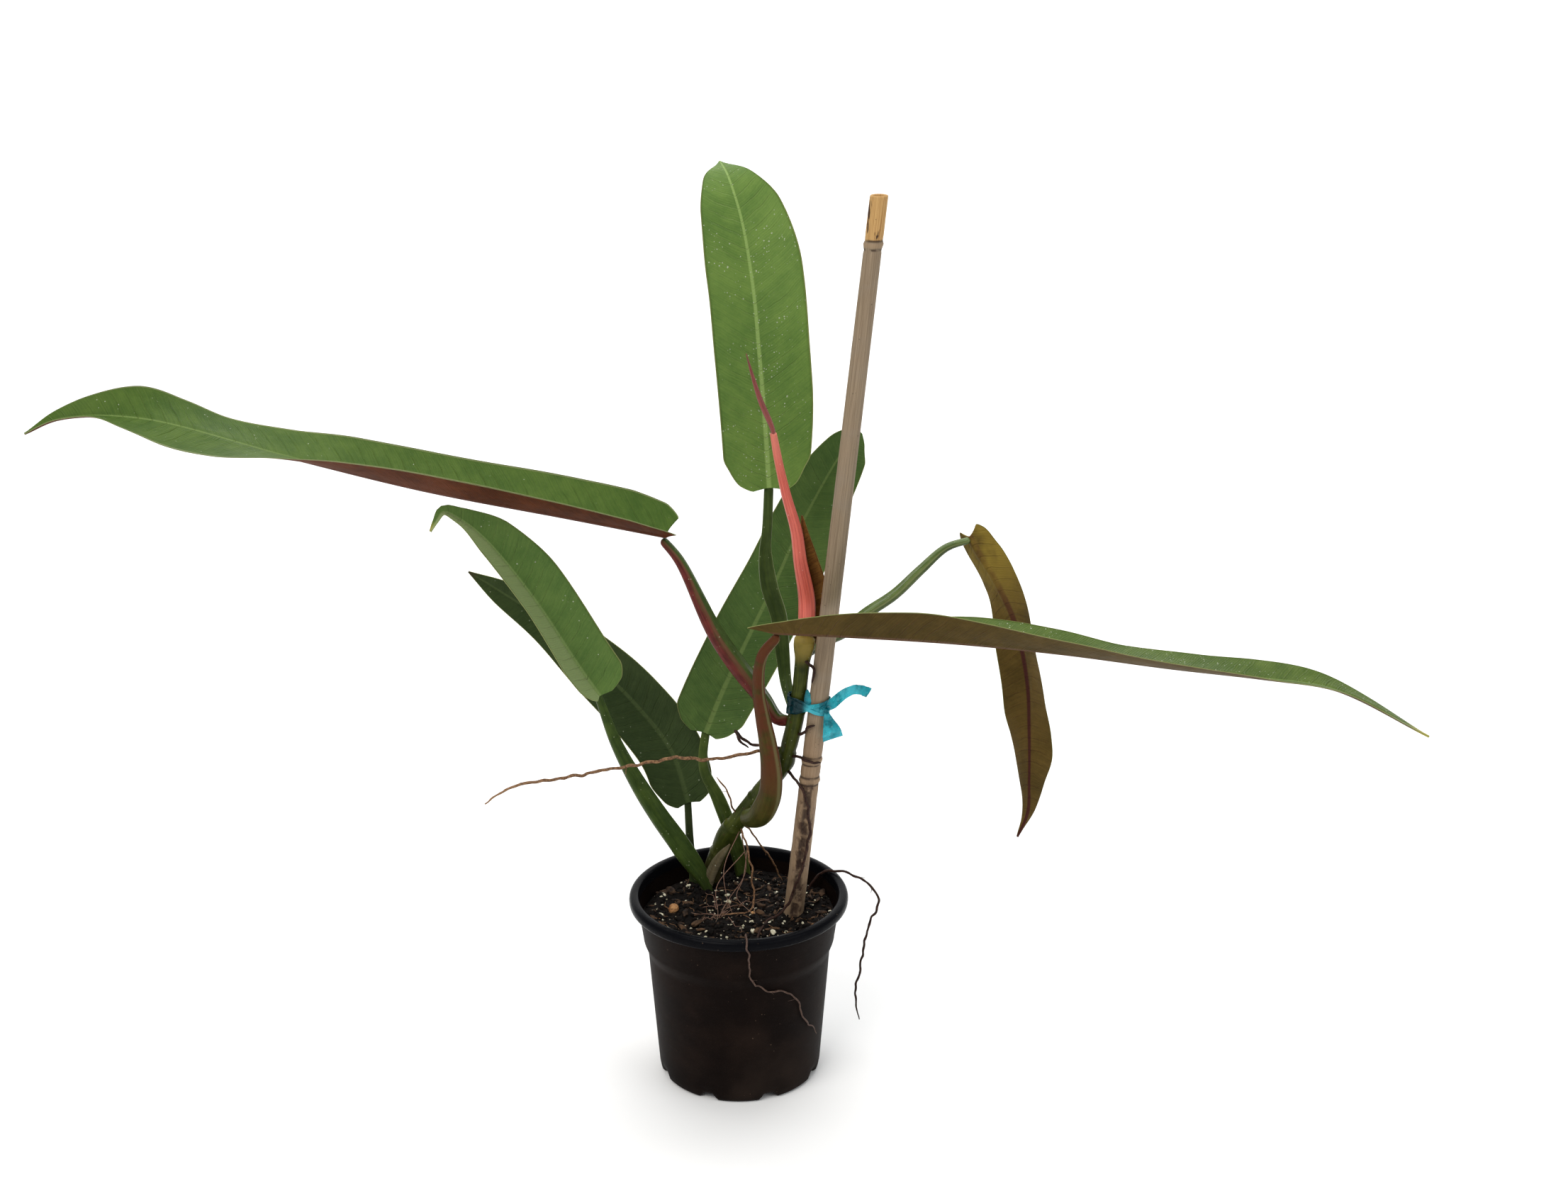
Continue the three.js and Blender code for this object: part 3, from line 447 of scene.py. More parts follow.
# ------------------------------------------------------------------ materials
def leaf_paint(name, top, under, rib, under_rib, rim=(0.3, 0.32, 0.12), flecks=0.05, gloss=0.42,
               blush=None, spacing=7.0, tip=None, margin=0.985, left_half=None):
    """top and under are (dark, light) pairs; blush is (colour, from, to) along the length.

    rim is the colour of the edge and margin where it starts; left_half tints the left half of the blade."""
    p = Paint(name)
    across, share, side = p.attribute("leaf")
    phase, span, _ = p.attribute("veins")
    wander = p.noise(90.0, 2.0) * 3.2 + phase
    small_vein = p.step(0.3, 0.0, (wander / (spacing / 5)).math("PINGPONG", 0.5))
    vein = p.step(0.07, 0.0, (wander / spacing).math("PINGPONG", 0.5))
    vein = vein * p.step(1.0, 0.6, abs(across)) * p.step(0.3, 0.6, p.noise(45.0, 3.0))
    fine = p.noise(620.0, 4.0)
    streak = p.noise(1.0, 3.0, p.join(wander * 0.9, span * 0.05, share))
    tone = p.noise(26.0, 2.0) * 0.4 + streak * 0.28 + p.noise(110.0, 4.0) * 0.32
    tone = p.step(0.3, 0.7, tone + fine * 0.12 - 0.06)
    on_rib = p.step(1.0, 0.45, span / (share * -1.3 + 1.9))

    def one_side(shades, middle, small, large, centre):
        p.colour = p.mix(tone, *shades)
        p.lay(small_vein, shades[1], small)
        p.lay(vein, middle, large)
        p.lay(on_rib, middle, centre)
        return p.colour

    back = one_side(under, under_rib, 0.08, 0.25, 0.9)
    one_side(top, rib, 0.05, 0.2, 0.75)
    # Pale specks on the top face: partly dried residue spots, partly painted highlights standing for glints
    # on the glossy leaf.
    p.lay(p.specks(750.0, 0.22, flecks) * p.step(0.42, 0.6, p.noise(35.0, 2.0)), (0.42, 0.45, 0.34), 0.7)
    is_top = p.step(-0.5, 0.5, side)
    p.colour = p.mix(is_top, back, p.colour)
    if blush:
        tint, start, end = blush
        p.lay(p.step(start, end, share) * p.step(0.25, 0.6, p.noise(60.0, 3.0)), tint, 0.8)
    if tip:
        p.lay(p.step(0.955, 1.0, share), tip)
    if left_half:
        p.lay(p.step(0.0, -0.12, across), left_half, 0.7)
    p.lay(p.step(margin - 0.01, margin + 0.01, abs(across)), rim, 0.75)
    bumps = vein * -0.5 + small_vein * -0.12 + p.noise(240.0, 3.0) * 0.5 + fine * 0.1
    roughness = p.noise(300.0, 5.0) * 0.22 + is_top * -0.3 + (gloss + 0.2)
    return p.finish(roughness, bumps, 0.0005, Specular_IOR_Level=0.06, Subsurface_Weight=0.05,
                    Subsurface_Radius=(0.001, 0.002, 0.0005))


def stalk_paint(name, upper, lower, lean=0.0, edge=None, flecks=(0.3, 0.33, 0.2), fleck_amount=0.06,
                foot=None, gloss=0.36, scars=0.0, sheen=0.1, tint=None):
    """upper and lower are (dark, light) pairs for the two sides; lean turns the border between them.

    tint is (colour, from, to): patches of one more colour, growing between two shares of the length."""
    p = Paint(name)
    x, z, share = p.attribute("ring")
    lines = p.noise(1.0, 3.0, p.join(x * 4.0, z * 4.0, p.attribute("length")[0] * 0.05))
    patch = p.noise(130.0, 4.0)
    tone = p.step(0.3, 0.7, lines * 0.5 + patch * 0.5)
    border = z * math.cos(lean) + x * math.sin(lean) + p.noise(70.0, 3.0) * 1.1 - 0.55
    p.colour = p.mix(p.step(-0.35, 0.45, border), p.mix(tone, *lower), p.mix(tone, *upper))
    if tint:
        shade, start, end = tint
        p.lay(p.step(start, end, share) * p.step(0.25, 0.55, p.noise(90.0, 3.0)), shade, 0.9)
    if edge:
        p.lay(p.step(0.9, 0.985, abs(x)) * p.step(-0.1, 0.1, z), edge, 0.7)
    p.lay(p.specks(900.0, 0.24, fleck_amount), flecks, 0.65)
    if foot:
        p.lay(p.step(0.3, 0.02, share) * p.step(0.2, 0.6, patch), foot)
    if scars:
        p.lay(p.step(0.16, 0.08, p.cells(160.0)[0]), (0.07, 0.035, 0.015), scars)
    return p.finish(patch * 0.25 + (gloss - 0.1), lines * 0.5 + p.noise(700.0, 4.0) * 0.3, 0.0004,
                    Specular_IOR_Level=sheen, Subsurface_Weight=0.06,
                    Subsurface_Radius=(0.002, 0.0012, 0.0006))


def pot_paint():
    """Black plastic, warmed brown as a painted reflection of the table, with a smoother bluish rim, a few
    specks of dust and pale brownish patches that are strongest at the foot and fade upwards.
    """
    p = Paint("black_pot_plastic")
    height = p.split(p.place)[2]
    on_rim = p.step((POT_TOP - 7) * MM, (POT_TOP - 5) * MM, height)
    cloud = p.noise(38.0, 4.0)
    # The warm brown in the near-black is a painted reflection of the table.
    p.colour = p.mix(p.step(0.35, 0.75, cloud), (0.0048, 0.0027, 0.0021), (0.011, 0.0062, 0.0045))
    p.lay(on_rim, (0.0032, 0.0034, 0.0045))
    p.lay(p.specks(620.0, 0.16, 0.05) * p.step(0.4, 0.6, p.noise(22.0, 2.0)), (0.16, 0.11, 0.075), 0.55)
    # Pale brownish patches, strongest at the foot and gone by 100 mm up.
    p.lay(p.step(0.5, 0.8, p.noise(9.0, 5.0)) * p.step(0.1, 0.0, height), (0.045, 0.033, 0.026), 0.35)
    bumps = p.noise(1500.0, 4.0) * 0.5 + p.noise(60.0, 4.0, p.stretched(1, 1, 14)) * 0.35
    return p.finish(cloud * 0.18 + on_rim * -0.36 + 0.42, bumps, 0.00025, Specular_IOR_Level=0.03)


def peat_paint():
    p = Paint("peat_mix")
    tone = p.step(0.35, 0.7, p.noise(420.0, 6.0))
    p.colour = p.mix(tone, (0.0016, 0.0012, 0.001), (0.0075, 0.0048, 0.0036))
    p.lay(p.step(0.62, 0.7, p.noise(260.0, 3.0, p.stretched(1, 6, 1))), (0.055, 0.032, 0.018), 0.5)
    p.lay(p.specks(800.0, 0.3, 0.06), (0.28, 0.24, 0.18), 0.8)
    bumps = p.noise(500.0, 6.0) + p.noise(1800.0, 3.0) * 0.4
    return p.finish(tone * 0.2 + 0.72, bumps, 0.0009, Specular_IOR_Level=0.12)


def grain_paint(name, dark, light, pit_shade, scale=900.0, roughness=0.7):
    p = Paint(name)
    tone = p.step(0.3, 0.75, p.noise(scale / 4, 4.0))
    p.colour = p.mix(tone, dark, light)
    distance = p.cells(scale)[0]
    # Painted shade: the darker pit colour is laid where the bumps dip into pits.
    p.lay(p.step(0.25, 0.05, distance), pit_shade, 0.5)
    return p.finish(tone * 0.15 + roughness, distance + p.noise(scale, 4.0), 0.0005, Specular_IOR_Level=0.2)


def bamboo_paint():
    """Greyish tan, with a worn brown groove down the front of the lowest part and a golden cut end."""
    p = Paint("bamboo_weathered")
    x, z, _ = p.attribute("ring")
    height = p.attribute("length")[0]
    fibres = p.noise(1.0, 5.0, p.join(x * 14.0, z * 14.0, height * 0.03), 0.65)
    p.colour = p.mix(p.step(0.3, 0.7, fibres), (0.185, 0.13, 0.08), (0.33, 0.25, 0.165))
    p.lay(p.step(0.45, 0.75, p.noise(55.0, 4.0)), (0.26, 0.215, 0.165), 0.45)
    p.lay(p.step(130.0, 100.0, height), (0.3, 0.17, 0.085), 0.35)
    low = p.step(90.0, 78.0, height)
    front = p.step(0.55, 0.9, p.noise(70.0, 4.0) * 0.3 + z - 0.15)
    worn = low * p.step(0.47, 0.62, p.noise(150.0, 6.0, p.stretched(1, 1, 0.6), 0.7))
    stain = worn * (front * 0.75 + 0.15)
    p.lay(stain, (0.05, 0.022, 0.012))
    groove = low * p.step(0.88, 0.985, z) * p.step(0.35, 0.5, p.noise(210.0, 5.0))
    p.lay(groove, (0.028, 0.013, 0.009), 0.8)
    gold = p.mix(p.step(0.3, 0.62, fibres), (0.3, 0.13, 0.03), (0.58, 0.36, 0.14))
    streak = p.step(0.57, 0.63, p.noise(150.0, 4.0, p.stretched(1, 1, 0.3)))
    p.lay(p.step(377.5, 379.0, height), p.mix(streak, gold, (0.05, 0.02, 0.008)))
    broken = p.step(0.35, 0.5, p.noise(190.0, 3.0))
    for joint in CANE_JOINTS:
        away = abs(height - joint)
        p.lay(p.step(1.6, 0.6, away), (0.38, 0.26, 0.15), 0.4)
        p.lay(p.step(0.9, 0.2, abs(away - 2.2)) * broken, (0.04, 0.022, 0.013), 0.85)
    p.lay(p.specks(700.0, 0.18, 0.07), (0.04, 0.028, 0.02), 0.6)
    bumps = fibres * 0.7 + stain * -0.8 + groove * -0.9
    return p.finish(fibres * 0.25 + 0.5, bumps, 0.0005, Specular_IOR_Level=0.25)


def sheath_paint(name, dark, light, tip):
    p = Paint(name)
    x, z, share = p.attribute("ring")
    lines = p.noise(1.0, 4.0, p.join(x * 9.0, z * 9.0, p.attribute("length")[0] * 0.025), 0.6)
    p.colour = p.mix(p.step(0.32, 0.68, lines), dark, light)
    p.lay(p.step(0.35, 0.7, p.noise(80.0, 3.0)), light, 0.35)
    p.lay(p.step(0.75, 1.0, share), tip, 0.85)
    p.lay(p.specks(700.0, 0.2, 0.05), (0.75, 0.5, 0.4), 0.4)
    return p.finish(lines * 0.2 + 0.22, lines, 0.0005, Subsurface_Weight=0.15,
                    Subsurface_Radius=(0.003, 0.001, 0.0007), Coat_Weight=0.12, Coat_Roughness=0.25)


def root_paint(name, dark, light, tip):
    p = Paint(name)
    x, z, share = p.attribute("ring")
    bands = p.noise(1.0, 4.0, p.join(x, z, p.attribute("length")[0] * 0.8), 0.6)
    p.colour = p.mix(p.step(0.3, 0.7, bands), dark, light)
    p.lay(p.step(0.75, 1.0, share), tip, 0.6)
    p.lay(p.step(0.62, 0.75, p.noise(900.0, 3.0)), dark, 0.6)
    return p.finish(bands * 0.2 + 0.55, bands, 0.0005, Specular_IOR_Level=0.2)


def tape_paint():
    """A thin teal film, darker where it lies over the stem, with painted light and shade on its crumples
    and painted highlights.
    """
    p = Paint("teal_tape_film")
    crease = p.noise(170.0, 4.0, p.stretched(1, 1, 0.5), 0.6)
    # Lighter on the rises of the crumpled film and darker in its dips: painted light and shade of the
    # crumples.
    p.colour = p.mix(p.step(0.35, 0.68, crease), (0.0, 0.13, 0.17), (0.02, 0.42, 0.5))
    # Bright cyan patches: painted highlights on the film.
    p.lay(p.step(0.45, 0.7, p.noise(60.0, 2.0)), (0.1, 0.66, 0.78), 0.7)
    cane_x = cane_at(TIE_HEIGHT)[0]
    over_stem = p.step((cane_x - 5) * MM, (cane_x - 9) * MM, p.split(p.place)[0])
    p.lay(over_stem, (0.0005, 0.022, 0.028), 0.94)
    return p.finish(crease * 0.2 + 0.15, crease, 0.0006, Transmission_Weight=0.3, IOR=1.3)


# ------------------------------------------------------------------ places
def turn_about_z(angle):
    x, y = math.cos(angle), math.sin(angle)
    return np.array([[x, -y, 0], [y, x, 0], [0, 0, 1]])


def polar(bearing, radius, height):
    angle = math.radians(bearing)
    return np.array([radius * math.cos(angle), radius * math.sin(angle), height])


def planted(points):
    """Places given above the soil level, as places in the frame."""
    return [np.array(p, float) + (0, 0, SOIL_LEVEL) for p in points]


def in_pot(bearing, share, height):
    """A place over the mix, at a share of its radius."""
    return polar(bearing, share * SOIL_RADIUS, height)


def cane_at(height):
    """The middle of the cane at a height above the mix."""
    return np.array([30, -1, 0]) + CANE_LEAN * height


def cane_radius(height):
    return CANE_FOOT_RADIUS + (CANE_TOP_RADIUS - CANE_FOOT_RADIUS) * height / CANE_LENGTH


def beside_cane(height, bearing, gap):
    return cane_at(height) + polar(bearing, cane_radius(height) + gap, 0)


def beside_stem(height, bearing, gap):
    return beside_cane(height, TIE_BEARING, STEM_TO_CANE) + polar(bearing, STEM_RADIUS + gap, 0)


def lumps(x, y):
    """The low hills of the potting mix."""
    return 1.6 * (np.sin(x * 0.21 + 1) * np.cos(y * 0.17) + 0.6 * np.sin(x * 0.09 - y * 0.13))


def wall_radius(height):
    """Outside radius of the pot's wall at a height over the floor."""
    return float(np.interp(height, [5, 74, 80, 100], [44.8, 50.1, 52.5, 55.5]))


# ------------------------------------------------------------------ pot
DRAIN_HOLES = 8
DRAIN_BEARINGS = 2 * np.pi * (np.arange(DRAIN_HOLES) + 0.5) / DRAIN_HOLES
HEEL_RADIUS = 44


def nursery_pot():
    """The whole shell, with a notch in its heel at each drain hole."""
    outer = [
        (0, 2.2), (30, 2.2), (38.5, 1.2), (40.6, 0), (42.6, 0), (44.2, 1.6), (44.8, 5), (45.1, 8.6),
        (45.15, 9.4),
        (48.6, 54), (49.95, 72), (50.25, 73.6), (51.0, 75.6), (52.0, 78.2), (52.45, 79.8), (52.55, 81),
        (55.1, 98.5),
        (55.6, 99.8), (57.4, 99.9), (58.8, 100), (59.7, 100.7), (60, 102), (60, 103.6), (59.4, 105.2),
        (58, 106),
        (56.2, 106), (55.2, 105.7), (54.6, 104.6),
    ]
    inner = [(54.3, 99), (51.2, 80.4), (48.8, 74.2), (43.4, 5), (40, 2.6), (0, 2.6)]

    def feet(places, angle):
        away = np.abs((angle[:, None] - DRAIN_BEARINGS + np.pi) % (2 * np.pi) - np.pi).min(1) * HEEL_RADIUS
        notch = 2.9 * smooth_step(5.6, 2.6, away)
        low = smooth_step(6.5, 0.0, places[..., 2])
        outside = np.hypot(places[..., 0], places[..., 1]) > 38
        places[..., 2] = places[..., 2] + notch[None] * low * outside
        dent = smooth_step(6.0, 2.0, away)[None] * smooth_step(9.5, 4.0, places[..., 2]) * outside
        places[..., :2] *= (1 - 0.012 * dent)[..., None]
        return places

    profile = np.vstack([rounded(outer, 0.8, 3), np.array(inner)])
    return turned(Shape(), profile, 192, feet)


# ------------------------------------------------------------------ potting mix
def soil_height(x, y):
    """Height of the crumbly surface over the soil level."""
    p = np.stack([x, y, 0 * x], -1)
    fine = 0.9 * rough(p, 0.16, 3.0) + 0.75 * rough(p, 0.42, 8.0) + 0.35 * rough(p, 1.1, 5.0)
    rim = smooth_step(0.86, 1.0, np.hypot(x, y) / SOIL_RADIUS)
    return lumps(x, y) * (1 - 0.4 * rim) + fine - 0.6 * rim


def soil_surface():
    radii = SOIL_RADIUS * np.sqrt(np.linspace(0, 1, 80))[1:] * 0.988
    angle = np.linspace(0, 2 * np.pi, 200, endpoint=False)
    x, y = radii[:, None] * np.cos(angle), radii[:, None] * np.sin(angle)
    top = np.stack([x, y, SOIL_LEVEL + soil_height(x, y)], -1)
    side = [np.stack([r * np.cos(angle), r * np.sin(angle), np.full_like(angle, z)], -1)
            for r, z in ((52.1, 88), (49.8, 76), (42.8, 5.5), (39, 1.9))]
    return rings(Shape(), np.concatenate([top, np.stack(side)]))


def crumb_mesh(level):
    """Corners and faces of a round crumb of radius 1."""
    phi = (1 + 5**0.5) / 2
    corners = [(-1, phi, 0), (1, phi, 0), (-1, -phi, 0), (1, -phi, 0), (0, -1, phi), (0, 1, phi),
               (0, -1, -phi), (0, 1, -phi), (phi, 0, -1), (phi, 0, 1), (-phi, 0, -1), (-phi, 0, 1)]
    faces = [(0, 11, 5), (0, 5, 1), (0, 1, 7), (0, 7, 10), (0, 10, 11), (1, 5, 9), (5, 11, 4), (11, 10, 2),
             (10, 7, 6), (7, 1, 8), (3, 9, 4), (3, 4, 2), (3, 2, 6), (3, 6, 8), (3, 8, 9), (4, 9, 5),
             (2, 4, 11), (6, 2, 10), (8, 6, 7), (9, 8, 1)]
    corners = [tuple(unit(np.array(c, float))) for c in corners]
    for _ in range(level):
        middle, split = {}, []

        def between(a, b):
            key = (min(a, b), max(a, b))
            if key not in middle:
                middle[key] = len(corners)
                corners.append(tuple(unit(np.array(corners[a]) + np.array(corners[b]))))
            return middle[key]

        for a, b, c in faces:
            ab, bc, ca = between(a, b), between(b, c), between(c, a)
            split += [(a, ab, ca), (b, bc, ab), (c, ca, bc), (ab, bc, ca)]
        faces = split
    return np.array(corners), [list(f) for f in faces]


CRUMB = {level: crumb_mesh(level) for level in (1, 2, 3)}


def add_crumb(shape, dice, place, size, level, jagged, flat):
    """A jagged round crumb, flattened and turned at random."""
    corners, faces = CRUMB[level]
    seed = dice.uniform(0, 90)
    radius = 1 + jagged * rough(corners, 1.1, seed) + 0.5 * jagged * rough(corners, 2.7, seed + 7)
    turn = dice.uniform(0, math.tau)
    tip = dice.uniform(-0.5, 0.5)
    body = corners * radius[:, None] * size * np.array(flat)
    lean = np.array([[1, 0, 0], [0, math.cos(tip), -math.sin(tip)], [0, math.sin(tip), math.cos(tip)]])
    shape.add(body @ lean.T @ turn_about_z(turn).T + place, faces)


def on_soil(x, y, up=0.0):
    return np.array([x, y, SOIL_LEVEL + float(soil_height(np.array([x]), np.array([y]))[0]) + up])


def scatter(dice, count, keep_off=()):
    """Random places on the potting mix, clear of the given (x, y, radius) rounds."""
    places = []
    while len(places) < count:
        angle, radius = dice.uniform(0, math.tau), SOIL_RADIUS * 0.955 * math.sqrt(dice.random())
        x, y = radius * math.cos(angle), radius * math.sin(angle)
        if all(math.hypot(x - a, y - b) > r for a, b, r in keep_off):
            places.append((x, y))
    return places


def potting_mix():
    dice = random.Random(11)
    surface = soil_surface()
    for x, y in scatter(dice, 1000):
        size = dice.uniform(0.6, 1.6) * (1.7 if dice.random() < 0.15 else 1)
        add_crumb(surface, dice, on_soil(x, y, 0.15 * size), size, 1, 0.6, (1.2, 0.75, 0.7))
    return surface


def wisp(shape, dice, start, length, thick, rise=0.5):
    """A thin fibre or rootlet lying over the potting mix."""
    heading = dice.uniform(0, math.tau)
    x, y = start
    points = []
    for _ in range(5):
        points.append(on_soil(x, y, rise * dice.uniform(0.6, 1.8)))
        heading += dice.uniform(-0.7, 0.7)
        x, y = x + length / 4 * math.cos(heading), y + length / 4 * math.sin(heading)
        if math.hypot(x, y) > SOIL_RADIUS * 0.95:
            x, y, heading = x * 0.93, y * 0.93, heading + 2.0
    tube(shape, Route(points, 12), [[0, thick], [1, thick * 0.5]], face=(0.3, 0.2, 1), sides=5,
         steps=max(6, int(length / 2)))


def fine_rootlets():
    """Hair-thin rootlets hanging from the lowest node of the stem and tangled over the mix."""
    dice = random.Random(33)
    shape = Shape()
    for _ in range(4):
        top = [dice.uniform(-3, 5), dice.uniform(10, 20), SOIL_LEVEL + dice.uniform(26, 42)]
        foot = on_soil(dice.uniform(-19, 9), dice.uniform(-24, 6), 0.4)
        sway = [np.array([dice.uniform(-9, 9), dice.uniform(-6, 6), dice.uniform(-3, 3)]) for _ in range(2)]
        high = np.array(top) * 0.6 + foot * 0.4 + sway[0] - (0, 0, 3)
        low = np.array(top) * 0.2 + foot * 0.8 + sway[1]
        route = Route([top, high, low, foot], 12)
        tube(shape, route, [[0, 0.28], [1, 0.14]], face=(0.3, 0.2, 1), sides=5, steps=24)
    for _ in range(18):
        start = (dice.uniform(-22, 8), dice.uniform(-20, 8))
        wisp(shape, dice, start, dice.uniform(7, 18), dice.uniform(0.14, 0.26), rise=dice.uniform(0.8, 3.0))
    return shape


# ------------------------------------------------------------------ cane and stem
def bamboo_cane():
    heights = np.concatenate([[-CANE_DEPTH, -40, -12], np.arange(-6, 399.4, 1.6), [399.4, 400.0]])
    radius = np.array([cane_radius(max(h, 0)) for h in heights])
    for joint in CANE_JOINTS:
        away = np.abs(heights - joint)
        radius += 0.55 * np.exp(-((away / 1.1) ** 2)) - 0.25 * np.exp(-(((away - 2.6) / 1.0) ** 2))
    radius[-1] -= 0.25
    angle = np.linspace(0, 2 * np.pi, 56, endpoint=False)
    x, z = np.sin(angle), np.cos(angle)
    low = smooth_step(100, 60, heights)[:, None]
    flat = 0.35 * np.exp(-(((angle - 5.6) / 0.5) ** 2)) * (1 - low)
    ring_places = np.stack(np.broadcast_arrays(x * 3, z * 3, heights[:, None] / 9), -1)
    worn = rough(ring_places, 1.0, 4.0)
    from_front = np.minimum(angle, 2 * np.pi - angle)
    groove = low * (0.95 * np.exp(-((from_front / 0.24) ** 2)) + 0.22 * np.abs(worn))
    r = radius[:, None] - flat - groove * smooth_step(-2, 6, heights)[:, None] + 0.05 * worn
    centre = np.array([cane_at(h) for h in heights])
    outer = centre[:, None] + np.stack([x * r, -z * r, 0 * r], -1)
    bore = []
    for depth, size in ((0.0, 3.3), (0.5, 2.9), (3, 2.7), (27.9, 2.7)):
        bore.append(cane_at(CANE_LENGTH - depth) + np.stack([x * size, -z * size, 0 * x], -1))
    places = np.concatenate([outer, np.stack(bore)]) + (0, 0, SOIL_LEVEL)
    height = places[..., 2:] - SOIL_LEVEL
    ring = np.stack(np.broadcast_arrays(x, z, height[..., 0] / CANE_LENGTH), -1)
    return rings(Shape(), places, ring=ring, length=height)


STEM_ROUTE = [
    in_pot(116, 0.72, -ROOTED_DEPTH), in_pot(116, 0.72, 3), (-8, 25, 33), (0, 20, 47), (12, 12, 67),
    beside_cane(88, 150, 12), beside_cane(106, 155, STEM_TO_CANE + 2),
    beside_cane(124, TIE_BEARING, STEM_TO_CANE),
    beside_cane(144, 162, STEM_TO_CANE), beside_cane(169, 166, STEM_TO_CANE),
]
STEM_RADII = [[0, 5.5], [0.2, 5.0], [0.28, 5.8], [0.35, 4.7], [0.58, 4.7], [0.61, 5.6], [0.65, 4.5],
              [0.78, 4.4],
              [0.86, 3.9], [0.92, 4.1], [0.97, 5.6], [1, 5.2]]
STEM_NODES = (41, 62, 88, 131, 158, 203)  # their distances along the stem


def main_stem():
    def joints(length, angle, _):
        ridge = sum(np.exp(-(((length - n) / 0.8) ** 2)) for n in STEM_NODES)
        hollow = sum(np.exp(-(((length - n - 2.6) / 1.6) ** 2)) for n in STEM_NODES)
        return 1 + 0.085 * ridge - 0.05 * hollow + 0.02 * np.cos(3 * angle + 0.05 * length)

    return tube(Shape(), Route(planted(STEM_ROUTE)), STEM_RADII, sides=32, steps=240, dent=joints)


